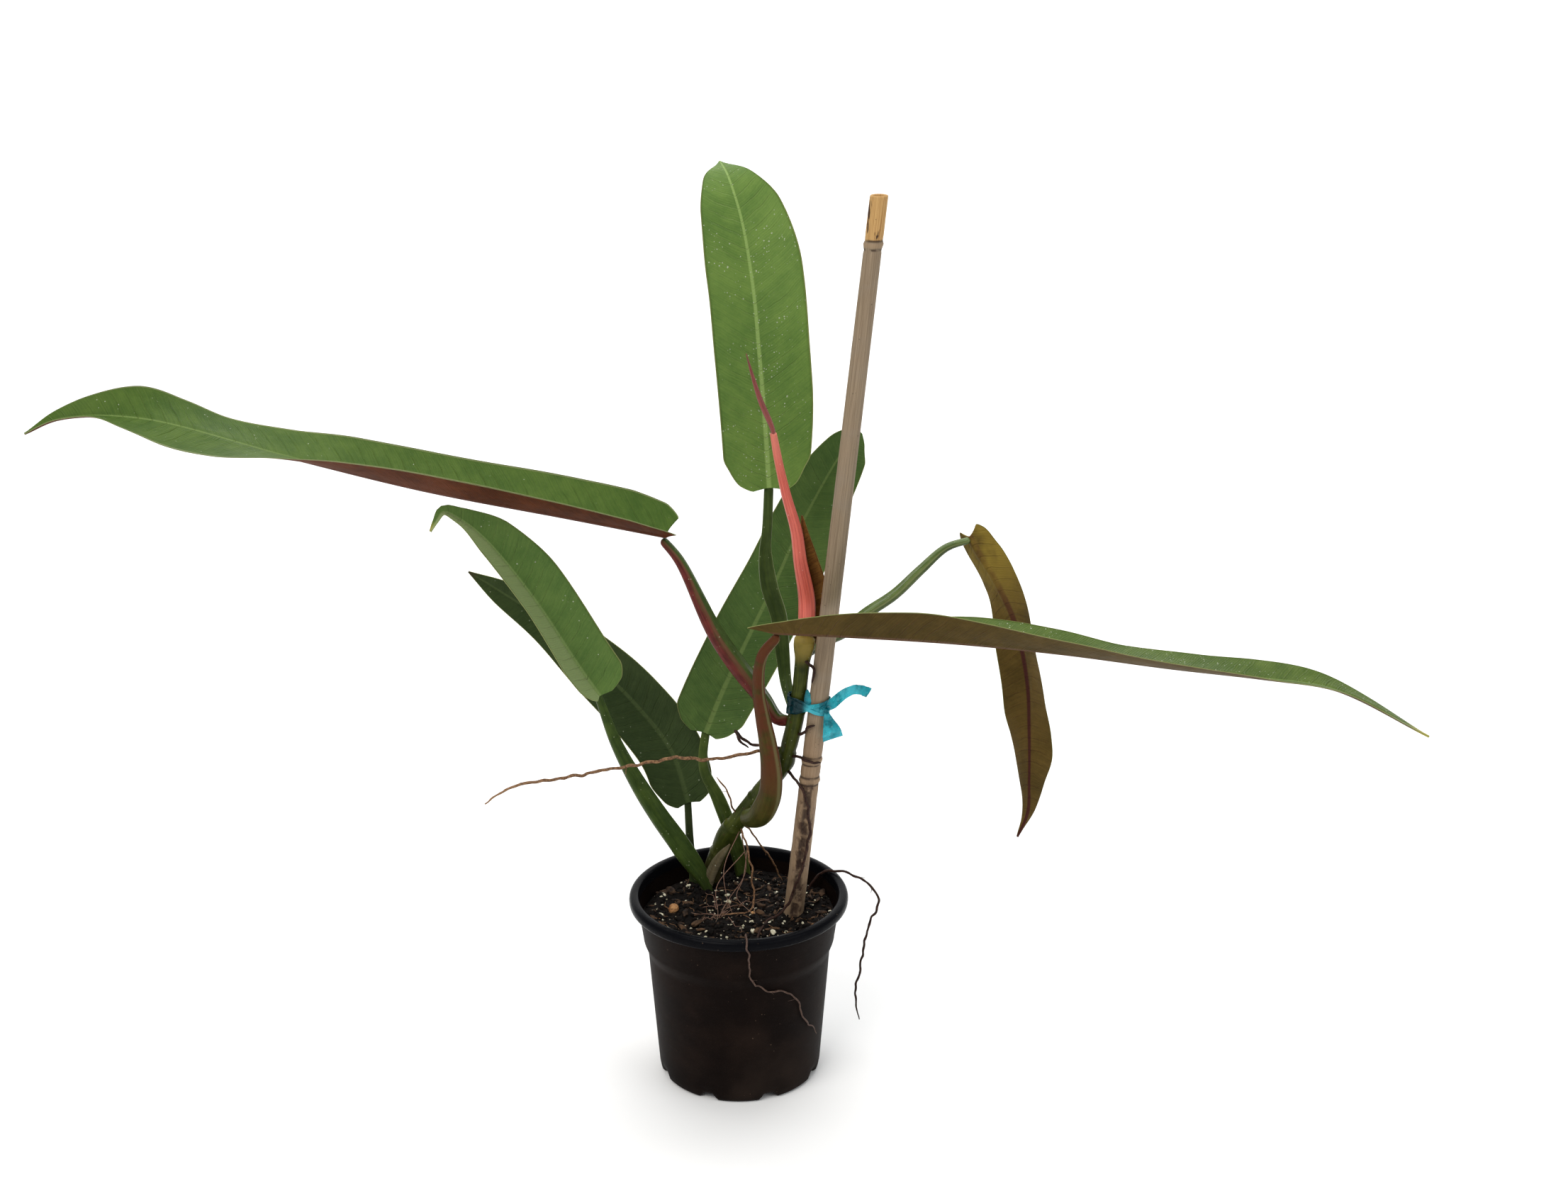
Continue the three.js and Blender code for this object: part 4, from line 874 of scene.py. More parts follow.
# ------------------------------------------------------------------ leaf stalks and blades
LEAVES = {
    "left_long": dict(
        stalk=dict(
            route=[(29, -5, 117), (22, -3, 117), (15, -2, 127), (0, -4, 149), (-11, -5, 167),
                   (-29, -6, 206),
                   (-35.6, -7, 219.4)],
            radius=[[0, 3.6], [0.12, 5.0], [0.35, 6.0], [0.6, 4.9], [0.85, 3.3], [1, 2.5]],
            face=(0.8, 0, 0.6),
            channel=[[0, 0.6], [0.5, 0.4], [0.9, 0.3], [1, 0.2]]),
        rib=[(-36.0, -7, 219.6), (-86, -8, 230), (-158, -10, 245), (-222, -12, 262), (-297, -16, 284),
             (-337, -20, 285), (-355, -22, 278)],
        widths=[[0, 7, 14], [0.02, 12, 19], [0.07, 20, 23], [0.3, 25, 25], [0.7, 25, 25], [0.82, 20, 20],
                [0.9, 11, 11], [0.95, 5, 5], [1, 0.4, 0.4]],
        folds=[[0, 24, 40], [0.35, 30, 30], [0.5, 22, 24], [0.6, 7, 10], [0.7, -13, 2], [0.77, -18, 14],
               [0.84, -8, 38], [0.9, 8, 44], [1, 5, 30]],
        faces=[[0, 0, 0, 1], [1, 0, 0, 1]], lobe=5, lobe_reach=0.05),
    "upright": dict(
        stalk=dict(
            route=[beside_stem(121, 106, 0.5), beside_stem(132, 110, 14.5), (24, 14, 148), (22, 16, 167),
                   (17, 17, 184), (15, 18, 202), (16, 19, 217), (17, 20.7, 238)],
            radius=[[0, 2.6], [0.15, 3.2], [0.35, 4.2], [0.55, 4.6], [0.8, 2.7], [1, 2.5]],
            face=(0, -1, 0.1),
            channel=[[0, 0.8], [0.5, 1.05], [0.72, 0.9], [0.82, 0.4], [1, 0.2]]),
        rib=[(17, 20.6, 237), (15, 24, 270), (12, 28, 307), (9, 35, 339), (3, 46, 373), (-4, 60, 393),
             (-9, 80, 398)],
        widths=[[0, 11, 11], [0.025, 17, 16], [0.06, 21, 20], [0.1, 24, 24], [0.3, 24, 27], [0.6, 24, 27],
                [0.78, 21, 22], [0.88, 14, 13], [0.96, 4, 4], [1, 0.4, 0.4]],
        folds=[[0, 14, 14], [0.5, 8, 8], [1, 0, 0]], faces=[[0, 0, -1, 0.3], [1, 0, -0.4, 1]]),
    "back_tall": dict(
        stalk=dict(
            route=[in_pot(88, 0.82, -ROOTED_DEPTH), in_pot(88, 0.82, 2), in_pot(92.7, 0.793, 19),
                   (-12, 37, 52),
                   (-19, 35, 68.5), (-20, 35, 78.5), (-18.5, 36.9, 91.5)],
            radius=[[0, 4.4], [0.55, 4.1], [0.75, 3.0], [1, 2.3]], face=(0.3, -1, 0),
            channel=[[0, 0.9], [0.6, 0.7], [1, 0.3]]),
        rib=[(-18.6, 37, 91.2), (-9, 42, 114), (7, 46, 148), (21, 50, 177), (34, 54, 206), (57, 62, 246),
             (66, 66, 255)],
        widths=[[0, 10, 8], [0.025, 17, 13], [0.07, 22, 18], [0.3, 21.5, 21.5], [0.6, 18, 22],
                [0.8, 16, 18],
                [0.93, 11, 14], [0.98, 6, 7], [1, 1.4, 1.4]],
        folds=[[0, 6, 6], [1, 2, 2]], faces=[[0, 0.1, -1, 0.2], [1, 0.1, -1, 0.2]]),
    "left_upper": dict(
        stalk=dict(
            route=[in_pot(129, 0.52, -ROOTED_DEPTH), in_pot(129, 0.53, 3), (-32, 20, 30), (-44, 18, 50),
                   (-55, 15, 71),
                   (-66, 9, 98), (-73.6, 3, 127)],
            radius=[[0, 1.8], [0.1, 2.4], [0.2, 4.8], [0.3, 5.8], [0.5, 5.2], [0.75, 3.6], [1, 2.0]],
            face=(0.5, -0.8, 0.3),
            channel=[[0, 0.7], [0.5, 0.6], [1, 0.25]]),
        rib=[(-73.6, 3, 126.6), (-83, 2, 142), (-107, -4, 186), (-130, -8, 219), (-142, -10, 230),
             (-149, -12, 234),
             (-153, -13, 229), (-156, -14, 224)],
        widths=[[0, 4, 9], [0.03, 8, 17], [0.08, 12, 20.5], [0.2, 14, 20.5], [0.5, 14, 20.5],
                [0.72, 10, 15],
                [0.84, 4, 7], [0.92, 2.2, 3], [1, 0.5, 0.5]],
        folds=[[0, 50, 4], [0.5, 60, 2], [0.85, 40, 2], [1, 20, 0]],
        faces=[[0, 0, -1, 0.4], [1, 0, -1, 0.4]]),
    "left_lower": dict(
        stalk=dict(
            route=[in_pot(127, 0.8, -ROOTED_DEPTH), in_pot(127, 0.82, 3), in_pot(126.7, 0.85, 13),
                   (-28, 38, 24),
                   (-28.8, 42.8, 46.6)],
            radius=[[0, 2.6], [1, 2]], face=(0.3, -1, 0.2), channel=[[0, 0.4], [1, 0.4]]),
        rib=[(-28.8, 43, 46.4), (-38, 45, 77), (-59, 45, 107), (-80, 44, 130), (-105, 42, 155),
             (-127, 37, 173),
             (-144, 31, 187)],
        widths=[[0, 8, 8], [0.03, 13, 14], [0.1, 18, 18], [0.25, 18.5, 18.5], [0.45, 17.5, 17.5],
                [0.7, 12, 12],
                [0.88, 7, 7], [1, 0.4, 0.4]],
        folds=[[0, 6, 6], [1, 6, 6]], faces=[[0, 0, -1, 0.3], [1, 0, -1, 0.3]]),
    "right_long": dict(
        stalk=dict(
            route=[(4, 14, 50), (12, -2, 60), (18, -11, 76), (19, -14, 90), (17, -17, 109), (14, -21, 127),
                   (12, -27, 145), (14, -34, 164), (20.0, -40, 178.8)],
            radius=[[0, 4.9], [0.1, 6.0], [0.2, 6.9], [0.34, 6.8], [0.48, 5.7], [0.7, 4.0], [1, 2.4]],
            face=(0.9, 0.3, 0.2), channel=[[0, 0.7], [0.4, 0.5], [0.8, 0.4], [1, 0.3]]),
        rib=[(20.4, -40.2, 179.0), (58, -48, 180), (112, -50, 177), (165, -52, 172), (219, -54, 165),
             (265, -56, 160), (301, -58, 155), (351, -60, 130)],
        widths=[[0, 3.5, 3.5], [0.03, 8, 9], [0.08, 15, 16], [0.14, 19, 19], [0.3, 21, 21], [0.6, 19, 19],
                [0.8, 13, 13], [0.93, 6, 6], [1, 0.4, 0.4]],
        folds=[[0, 5, 46], [0.2, 6, 54], [0.31, 15, 44], [0.42, 9, 31], [0.53, -2, 23], [0.64, 1, 18],
               [0.76, 11, 13], [0.9, 0, 8], [1, 0, 5]],
        faces=[[0, 0, 0, 1], [1, 0, 0, 1]], lobe=14, lobe_reach=0.07),
    "right_drooping": dict(
        stalk=dict(
            route=[(37, -10, 156), (45, 3, 158), (56, 9, 161), (68, 13, 170), (83, 15, 180), (97, 15, 194),
                   (110, 15, 206), (121.6, 14, 212)],
            radius=[[0, 2.6], [0.15, 3.6], [0.6, 3.2], [1, 1.9]], face=(-0.4, -0.2, 1),
            channel=[[0, 0.8], [0.5, 0.55], [1, 0.3]]),
        rib=[(122, 14, 212.4), (127, 12, 204), (137, 8, 188), (147, 6, 166), (154, 4, 135), (156, 3, 107),
             (157, 3, 78), (157, 3, 59), (152, 4, 44)],
        widths=[[0, 9, 9], [0.03, 11.5, 12], [0.1, 13, 14], [0.4, 15, 15], [0.72, 14, 14], [0.83, 10, 10],
                [0.9, 5, 5], [0.95, 2, 2], [1, 0.4, 0.4]],
        folds=[[0, 44, 39], [0.18, 44, 46], [0.4, 18, 58], [0.57, 24, 44], [0.68, 46, 23], [0.75, 56, 14],
               [0.85, 60, 26], [1, 15, 15]],
        faces=[[0, 0, 1, 0.3], [1, 0, 1, 0.1]], lobe=3.5, lobe_reach=0.06),
}
LEAF_PAINTS = {
    "left_long": leaf_paint("leaf_left_long", ((0.037, 0.077, 0.012), (0.077, 0.127, 0.022)),
                            ((0.04, 0.012, 0.005), (0.11, 0.032, 0.011)), (0.13, 0.19, 0.05),
                            (0.1, 0.04, 0.03),
                            rim=(0.26, 0.3, 0.13), margin=0.96),
    # Its pale specks are partly painted highlights of small glints near the upper part.
    "upright": leaf_paint("leaf_upright", ((0.07, 0.135, 0.028), (0.13, 0.21, 0.045)),
                          ((0.1, 0.12, 0.03), (0.15, 0.17, 0.05)), (0.23, 0.33, 0.1), (0.2, 0.2, 0.07),
                          flecks=0.3),
    "back_tall": leaf_paint("leaf_back_tall", ((0.045, 0.088, 0.022), (0.085, 0.14, 0.035)),
                            ((0.07, 0.08, 0.02), (0.12, 0.12, 0.04)), (0.14, 0.2, 0.06), (0.14, 0.14, 0.05),
                            flecks=0.08),
    "left_upper": leaf_paint("leaf_left_upper", ((0.055, 0.11, 0.025), (0.1, 0.165, 0.04)),
                             ((0.12, 0.16, 0.05), (0.21, 0.26, 0.1)), (0.17, 0.24, 0.08), (0.2, 0.22, 0.08),
                             tip=(0.35, 0.3, 0.06), left_half=(0.29, 0.36, 0.16)),
    # Darker than the other leaves: partly its own deeper green, partly painted shade, as it sits behind and
    # under them.
    "left_lower": leaf_paint("leaf_left_lower", ((0.026, 0.044, 0.014), (0.048, 0.072, 0.024)),
                             ((0.04, 0.045, 0.015), (0.07, 0.07, 0.025)), (0.07, 0.1, 0.035),
                             (0.08, 0.08, 0.03),
                             tip=(0.05, 0.04, 0.02)),
    # Its many pale specks are partly painted highlights of glints on its glossy top.
    "right_long": leaf_paint("leaf_right_long", ((0.045, 0.08, 0.014), (0.095, 0.14, 0.028)),
                             ((0.05, 0.033, 0.007), (0.095, 0.06, 0.015)), (0.17, 0.24, 0.07),
                             (0.1, 0.05, 0.025),
                             flecks=0.5, gloss=0.3, tip=(0.42, 0.36, 0.05)),
    "right_drooping": leaf_paint("leaf_right_drooping", ((0.09, 0.075, 0.02), (0.15, 0.12, 0.03)),
                                 ((0.055, 0.035, 0.007), (0.11, 0.068, 0.016)), (0.11, 0.05, 0.03),
                                 (0.045, 0.01, 0.01), gloss=0.4, blush=((0.23, 0.16, 0.025), 0.34, 0.02)),
}
LEAF_SLOTS = {"left_lower": "leaf_dark", "right_drooping": "leaf_olive"}
GREEN = ((0.028, 0.048, 0.009), (0.07, 0.1, 0.02))
STALK_PAINTS = {
    "left_long": stalk_paint("stalk_left_long", ((0.026, 0.045, 0.009), (0.06, 0.09, 0.02)),
                             ((0.05, 0.008, 0.007), (0.15, 0.026, 0.02)), edge=(0.13, 0.05, 0.03)),
    "upright": stalk_paint("stalk_upright", ((0.022, 0.038, 0.008), (0.05, 0.075, 0.017)), GREEN,
                           edge=(0.19, 0.22, 0.09)),
    "back_tall": stalk_paint("stalk_back_tall", ((0.03, 0.05, 0.01), (0.07, 0.1, 0.02)), GREEN,
                             edge=(0.11, 0.14, 0.04)),
    "left_upper": stalk_paint("stalk_left_upper", ((0.02, 0.04, 0.007), (0.055, 0.088, 0.015)), GREEN,
                              foot=(0.022, 0.028, 0.01)),
    "left_lower": stalk_paint("stalk_left_lower", ((0.02, 0.032, 0.01), (0.04, 0.055, 0.018)),
                              ((0.02, 0.03, 0.01), (0.04, 0.055, 0.018))),
    "right_long": stalk_paint("stalk_right_long", ((0.035, 0.045, 0.008), (0.08, 0.09, 0.017)),
                              ((0.025, 0.03, 0.006), (0.06, 0.058, 0.012)), lean=0.9,
                              edge=(0.13, 0.12, 0.05),
                              flecks=(0.09, 0.03, 0.015), fleck_amount=0.2, gloss=0.34, sheen=0.04,
                              tint=((0.09, 0.026, 0.012), 0.08, 0.5)),
    "right_drooping": stalk_paint("stalk_right_drooping", ((0.055, 0.09, 0.018), (0.13, 0.18, 0.05)), GREEN,
                                  edge=(0.18, 0.2, 0.08), gloss=0.2, sheen=0.22),
}


STALK_REACH = 1.5  # how far a stalk runs on under its blade


def under_blade(rib, faces, radius):
    """Where a stalk of this end radius meets the underside of the blade on this rib."""
    share = np.array([STALK_REACH / rib.length])
    at, _, up, _ = rib.frames(share, track(faces)(share))
    return (at - 0.85 * radius * up)[0]


def add_leaf(name, leaf, seed):
    stalk = dict(leaf["stalk"])
    end = under_blade(Route(planted(leaf["rib"])), leaf["faces"], stalk["radius"][-1][1])
    stalk["route"] = Route([*planted(stalk["route"])[:-1], end])
    add_piece(f"stalk_{name}", tube(Shape(), sides=28, **stalk), STALK_PAINTS[name], "stem_green",
              [f"leaf_stalk_{name}"])
    shape = {key: value for key, value in leaf.items() if key != "stalk"}
    shape["rib"] = planted(shape["rib"])
    add_piece(f"blade_{name}", blade(Shape(), seed=seed, **shape), LEAF_PAINTS[name],
              LEAF_SLOTS.get(name, "leaf_green"), [f"leaf_blade_{name}"])


# ------------------------------------------------------------------ growing tip and dry sheaths
CATAPHYLL_ROUTE = [STEM_ROUTE[-1] + (0.04, -0.04, -1.0), (36.4, -15, 188), (33, -16, 209), (31, -16, 225),
                   (26, -17, 244), (22, -17, 262), (19.2, -18, 278)]


def cataphyll():
    def keels(length, angle, _):
        ridges = np.exp(-(((angle - 0.9) / 0.22) ** 2)) + np.exp(-(((angle - 5.2) / 0.22) ** 2))
        return 1 + 0.12 * ridges + 0.015 * np.sin(9 * angle)

    radius = [[0, 4.0], [0.12, 4.3], [0.4, 3.3], [0.75, 2.3], [0.97, 1.8], [1, 1.6]]
    return tube(Shape(), Route(planted(CATAPHYLL_ROUTE)), radius, face=(0.3, -1, 0), sides=36, steps=110,
                dent=keels)


def new_leaf_spike():
    def furled(length, angle, _):
        return 1 + 0.13 * np.cos(2 * angle + 0.06 * length) + 0.1 * np.exp(-(((angle - 1.2) / 0.25) ** 2))

    route = Route(planted([(19.6, -18, 274), (19.1, -18, 278.7), (13, -18, 294), (9, -18, 307),
                           (6, -18, 318)]))
    return tube(Shape(), route, [[0, 1.2], [0.3, 1.6], [0.7, 0.9], [1, 0.2]], face=(0.3, -1, 0), sides=24,
                steps=60, dent=furled)


def dried_flap():
    return blade(
        Shape(), planted([(38.4, -9.4, 161), (39.6, -9.4, 180), (37, -10.5, 200), (35, -11, 218),
                          (34, -12, 232)]),
        widths=[[0, 3, 3], [0.3, 3, 6], [0.5, 3, 9], [0.65, 3, 7], [1, 0.4, 0.4]],
        folds=[[0, 5, 5], [1, 5, 5]],
        faces=[[0, 0, -1, 0], [1, 0, -1, 0]], lobe=0, curl=30, across=14, along=60, thickness=0.5, keel=0.2,
        ripple=1.0, seed=5)


def foot_sheath():
    """A pale dry sheath still clasping the foot of the stem."""
    rib = [in_pot(127, 0.62, -2), (-16.5, 20.5, 12), (-10.5, 17.5, 26), (-5, 15, 34)]
    return blade(Shape(), planted(rib), [[0, 3.2, 3.2], [0.5, 3, 3], [0.8, 1.6, 2.2], [1, 0.3, 0.3]],
                 [[0, 12, 12], [1, 8, 8]], [[0, -0.3, -1, 0.1], [1, -0.3, -1, 0.2]], lobe=0, curl=-50,
                 across=16,
                 along=40, thickness=0.45, keel=0.1, ripple=0.9, seed=8)


# ------------------------------------------------------------------ tape
TAPE_THICK = 0.3


def strap(shape, centre_line, across, half_width, seed, crease, columns=9, closed=False):
    """A thin crumpled strip. across gives its sideways direction, half_width its half width."""
    rows = len(centre_line)
    x = np.linspace(-1, 1, columns)
    ahead = np.roll(centre_line, -1, 0) - np.roll(centre_line, 1, 0)
    if not closed:
        ahead[0], ahead[-1] = centre_line[1] - centre_line[0], centre_line[-1] - centre_line[-2]
    out = unit(np.cross(unit(ahead), across))
    middle = centre_line[:, None] + across[:, None] * (x * half_width[:, None])[..., None]
    ripple = rough(middle, 0.32, seed) + 0.6 * rough(middle, 0.9, seed + 3)
    middle = middle + out[:, None] * (ripple * crease)[..., None]
    skin = out[:, None] * TAPE_THICK / 2
    places = np.concatenate([middle + skin, (middle - skin)[:, ::-1]], 1)
    if not closed:
        return rings(shape, places)
    faces = grid_faces(rows, 2 * columns, wrap=True)
    last, width = (rows - 1) * 2 * columns, 2 * columns
    faces += [[last + i, last + (i + 1) % width, (i + 1) % width, i] for i in range(width)]
    return shape.add(places.reshape(-1, 3), faces)


def tape_end(shape, points, across, widths, seed, crease=1.0):
    """A loose end of the tape. across and widths are stops along its length."""
    share = np.linspace(0, 1, 56)
    line, half_width = Route(planted(points)).at(share), track(widths)(share)[:, 0]
    return strap(shape, line, unit(track(across)(share)), half_width, seed, crease, columns=15)


def tie_loop():
    """The tape round the stem and the cane, broad on the stem and gathered on the cane, with its knot."""
    stem = beside_cane(TIE_HEIGHT, TIE_BEARING, STEM_TO_CANE)
    cane = cane_at(TIE_HEIGHT)
    reach = np.linalg.norm((cane - stem)[:2])
    bearing = math.atan2(cane[1] - stem[1], cane[0] - stem[0])
    shape = Shape()
    strips = ((0.0, 4.8, 1.9, 0.0, 1), (0.9, 2.4, 1.3, 3.6, 2), (1.4, 1.7, 1.0, -3.4, 3))
    for grow, on_stem, on_cane, tilt, seed in strips:
        small, large = cane_radius(TIE_HEIGHT) + 0.55 + grow * 0.4, STEM_RADIUS + 0.55 + grow * 0.4
        touch = math.acos((large - small) / reach)
        first = np.linspace(touch, 2 * math.pi - touch, 60)
        second = np.linspace(-touch, touch, 40)
        outline = np.concatenate([np.stack([large * np.cos(first), large * np.sin(first)], -1),
                                  np.stack([reach + small * np.cos(second), small * np.sin(second)], -1)])
        run = np.concatenate([[0], np.cumsum(np.linalg.norm(np.diff(outline, axis=0), axis=1))])
        even = np.linspace(0, run[-1], 140, endpoint=False)
        outline = np.stack([np.interp(even, run, outline[:, k]) for k in (0, 1)], -1)
        flat = outline @ turn_about_z(bearing)[:2, :2].T
        rise = tilt * (outline[:, 0] / reach - 0.5)
        line = np.column_stack([flat, rise]) + stem + (0, 0, SOIL_LEVEL)
        line[:, :2] += CANE_LEAN[:2] * rise[:, None]
        across = np.tile(unit(CANE_LEAN), (len(line), 1))
        wide = on_stem + (on_cane - on_stem) * smooth_step(0.0, 0.75, outline[:, 0] / reach)
        strap(shape, line, across, wide, seed * 9.0, crease=0.3, closed=True)
    dice = random.Random(3)
    for bearing, height, size in ((-62, 0.4, 2.0), (-50, -0.8, 1.7), (-75, -0.6, 1.4), (-38, 0.9, 1.3)):
        knot = beside_cane(TIE_HEIGHT + height, bearing, 1.0) + (0, 0, SOIL_LEVEL)
        add_crumb(shape, dice, knot, size, 3, 0.7, (1.2, 0.7, 0.9))
    return tape_end(shape, [(38.6, -16.5, 126), (37.6, -16.2, 131), (36.8, -15.5, 137.5)],
                    [[0, 1, -0.2, 0.2], [1, 1, 0.3, 0.4]], [[0, 1.4], [0.5, 2.3], [1, 0.7]], 51, 0.5)


# ------------------------------------------------------------------ aerial roots
def on_mix(bearing, share, up=0.9):
    place = in_pot(bearing, share, 0)
    return on_soil(place[0], place[1], up) - (0, 0, SOIL_LEVEL)


def over_rim(bearing, outwards, height):
    return polar(bearing, RIM_RADIUS + outwards, SOIL_DROP + height)


def on_wall(bearing, height):
    return polar(bearing, wall_radius(height) + 1.1, height - SOIL_LEVEL)


ROOTS = {
    "left_long": (0.9, "pink", [
        (24, -1, 94), (11, 1, 95), (-16, 0, 91), (-32, -3, 94), (-46, -5, 92), (-83, -8, 86),
        (-123, -11, 79), (-135, -13, 71),
    ]),
    "curl": (0.8, "brown", [
        (25, -3, 99), (12, -1, 100), (6, -2, 102), (1, -3, 107), (-1, -4, 110), (1, -7, 107), (6, -7, 101),
    ]),
    "node_up": (0.5, "pink", [
        (-1, 20, 48), (-4, 15, 58), (-7, 15, 68), (-12, 16, 74),
    ]),
    "cane_grip": (0.8, "brown", [
        (27, -3, 97), beside_cane(97, 195, 1.6), beside_cane(98, 235, 1.3), beside_cane(97, 280, 1.3),
        beside_cane(96, 315, 1.3),
    ]),
    "cane_upper": (0.8, "brown", [
        (34, -15, 155), beside_cane(151, 222, 1.5), beside_cane(143, 224, 1.9),
    ]),
    "cane_down": (0.8, "brown", [
        (22, 4, 87), beside_cane(84, 200, 2.5), beside_cane(78, 250, 1.4), beside_cane(58, 292, 1.7),
        beside_cane(36, 285, 1.7), beside_cane(22, 260, 2.2), beside_cane(8, 240, 5), on_mix(-41, 0.4),
        on_mix(-72, 0.6), on_mix(-79, 0.77),
    ]),
    "cane_side": (0.8, "brown", [
        (30, -6, 108), beside_cane(113, 205, 1.3), beside_cane(117, 230, 1.2), beside_cane(119, 262, 1.2),
    ]),
    "soil_reach": (0.5, "pink", [
        (1, 22, 44), (8, 21, 37), (12, 22, 30), (17, 28, 20), on_mix(58, 0.85),
    ]),
    "soil_loop": (0.55, "pink", [
        (1, 18, 43), (4, 12, 34), (7, 8, 22), (8, 4, 10), on_mix(-27, 0.13), on_mix(-127, 0.1),
        on_mix(-176, 0.25),
    ]),
    "over_rim_right": (0.7, "brown", [
        on_mix(35, 0.88), over_rim(28, -8, -1), over_rim(22, -2, 1.5), over_rim(18, 7, -1),
        over_rim(12, 18.5, -11), over_rim(11, 18, -18), over_rim(11, 13.5, -27), over_rim(12, 9, -57),
        over_rim(12, 6.5, -70), over_rim(12, 9, -88),
    ]),
    "over_rim_front": (0.5, "grey", [
        on_mix(-83, 0.8), over_rim(-85, -8, 0), over_rim(-85, -2.5, 1.6), over_rim(-85, 1.6, -2),
        over_rim(-84, 0.6, -7), on_wall(-83, 90), on_wall(-82, 80), on_wall(-76, 74), on_wall(-69, 70),
        on_wall(-62, 69), on_wall(-51, 61), on_wall(-43, 45), on_wall(-33, 37), on_wall(-27, 30),
    ]),
}

KINK = 1.1  # how far a root wanders from its route


def aerial_root(points, thick, seed):
    """A knobbly root with a thinner tip and a few short side roots."""
    dice = random.Random(seed)
    shape = Shape()
    route = Route(planted(points))
    bend = np.minimum(route.shares, 1 - route.shares)[:, None] * route.length / 6
    route.line = route.line + KINK * np.minimum(bend, 1) * np.stack(
        [rough(route.line / 5 + k, 1.0, seed + 11 * k) for k in range(3)], -1)

    def knobbly(length, angle, at):
        return 1 + 0.22 * rough(at / 2.2, 1.0, seed)[:, None] + 0.1 * np.sin(3 * angle + length * 0.7)

    tube(shape, route, [[0, thick], [0.85, thick * 0.9], [1, thick * 0.4]], face=(0.2, -0.9, 0.4), sides=10,
         steps=int(route.length / 0.9), dent=knobbly)
    for _ in range(int(route.length / 28)):
        share = dice.uniform(0.15, 0.95)
        start = route.at(share)
        heading = unit(route.ahead(share) + np.array([dice.uniform(-1, 1) for _ in range(3)]))
        reach = dice.uniform(1.5, 4.5)
        bend = np.array([dice.uniform(-0.8, 0.8) for _ in range(3)])
        points = [start, start + heading * reach * 0.5, start + heading * reach + bend]
        tube(shape, Route(points, 8), [[0, thick * 0.35], [1, thick * 0.15]], sides=5, steps=6)
    return shape


# ------------------------------------------------------------------ the pieces
add_piece("nursery_pot", nursery_pot(), pot_paint(), "pot_plastic", ["pot"])
add_piece("peat_surface", potting_mix(), peat_paint(), "potting_mix", ["potting_mix"])

CRUMBS = {
    "clay_pebble": [(176.8, 0.68, 3.4)],
    "perlite": [(-175, 0.8, 1.6), (-110, 0.72, 1.8), (-52, 0.58, 1.7), (117, 0.25, 1.7), (-152, 0.81, 1.5),
                (11, 0.77, 1.6), (-70, 0.44, 1.5)],
    "bark_chip": [(-148, 0.49, 3.0), (-50, 0.79, 3.2)],
}
KEEP_OFF = [(30, -1, 6.5), (-17, 34, 6.5), (-21, 22, 7), (1.5, 43, 6)]


def crumb_piece(name, seed, small, sizes, flat, level, jagged=0.35):
    """The large crumbs of one kind at their places, and small ones scattered between them."""
    dice = random.Random(seed)
    shape = Shape()
    for bearing, share, size in CRUMBS[name]:
        x, y, _ = in_pot(bearing, share, 0)
        add_crumb(shape, dice, on_soil(x, y, size * 0.45), size, level, jagged * 0.7, flat)
    for x, y in scatter(dice, small, KEEP_OFF):
        size = dice.uniform(*sizes) * (1.6 if dice.random() < 0.1 else 1)
        add_crumb(shape, dice, on_soil(x, y, size * 0.35), size, 1, jagged, flat)
    return shape


add_piece("clay_pebbles", crumb_piece("clay_pebble", 5, 2, (1.0, 1.5), (1, 0.85, 0.75), 3, 0.2),
          grain_paint("fired_clay", (0.24, 0.1, 0.035), (0.48, 0.26, 0.11), (0.1, 0.045, 0.02)),
          "clay_pebble",
          ["clay_pebble"])
add_piece("perlite_grains", crumb_piece("perlite", 6, 210, (0.32, 0.85), (1.15, 0.8, 0.6), 2, 0.75),
          grain_paint("perlite_white", (0.42, 0.38, 0.24), (0.8, 0.76, 0.6), (0.26, 0.22, 0.13), 1100.0,
                      0.75),
          "perlite", [f"perlite_{i}" for i in range(1, 8)])
add_piece("bark_bits", crumb_piece("bark_chip", 7, 190, (0.7, 2.0), (1.7, 0.6, 0.35), 2, 0.6),
          grain_paint("bark_brown", (0.012, 0.006, 0.0035), (0.1, 0.054, 0.027), (0.008, 0.005, 0.0035),
                      700.0),
          "bark", ["bark_chip_1", "bark_chip_2"])

fibre_dice = random.Random(21)
fibres = Shape()
for start in scatter(fibre_dice, 60):
    wisp(fibres, fibre_dice, start, fibre_dice.uniform(5, 15), fibre_dice.uniform(0.12, 0.3))
root_pink = root_paint("root_tan_brown", (0.06, 0.026, 0.013), (0.3, 0.165, 0.08), (0.32, 0.19, 0.1))
root_brown = root_paint("root_dark_brown", (0.012, 0.005, 0.004), (0.055, 0.024, 0.015),
                        (0.02, 0.01, 0.007))
root_grey = root_paint("root_grey_brown", (0.04, 0.022, 0.016), (0.13, 0.08, 0.06), (0.14, 0.09, 0.07))
rootlet = root_paint("rootlet_pale", (0.13, 0.06, 0.04), (0.36, 0.22, 0.16), (0.45, 0.3, 0.22))
add_piece("peat_fibres", fibres, root_pink, "root_pink")
add_piece("fine_rootlets", fine_rootlets(), rootlet, "root_pink")

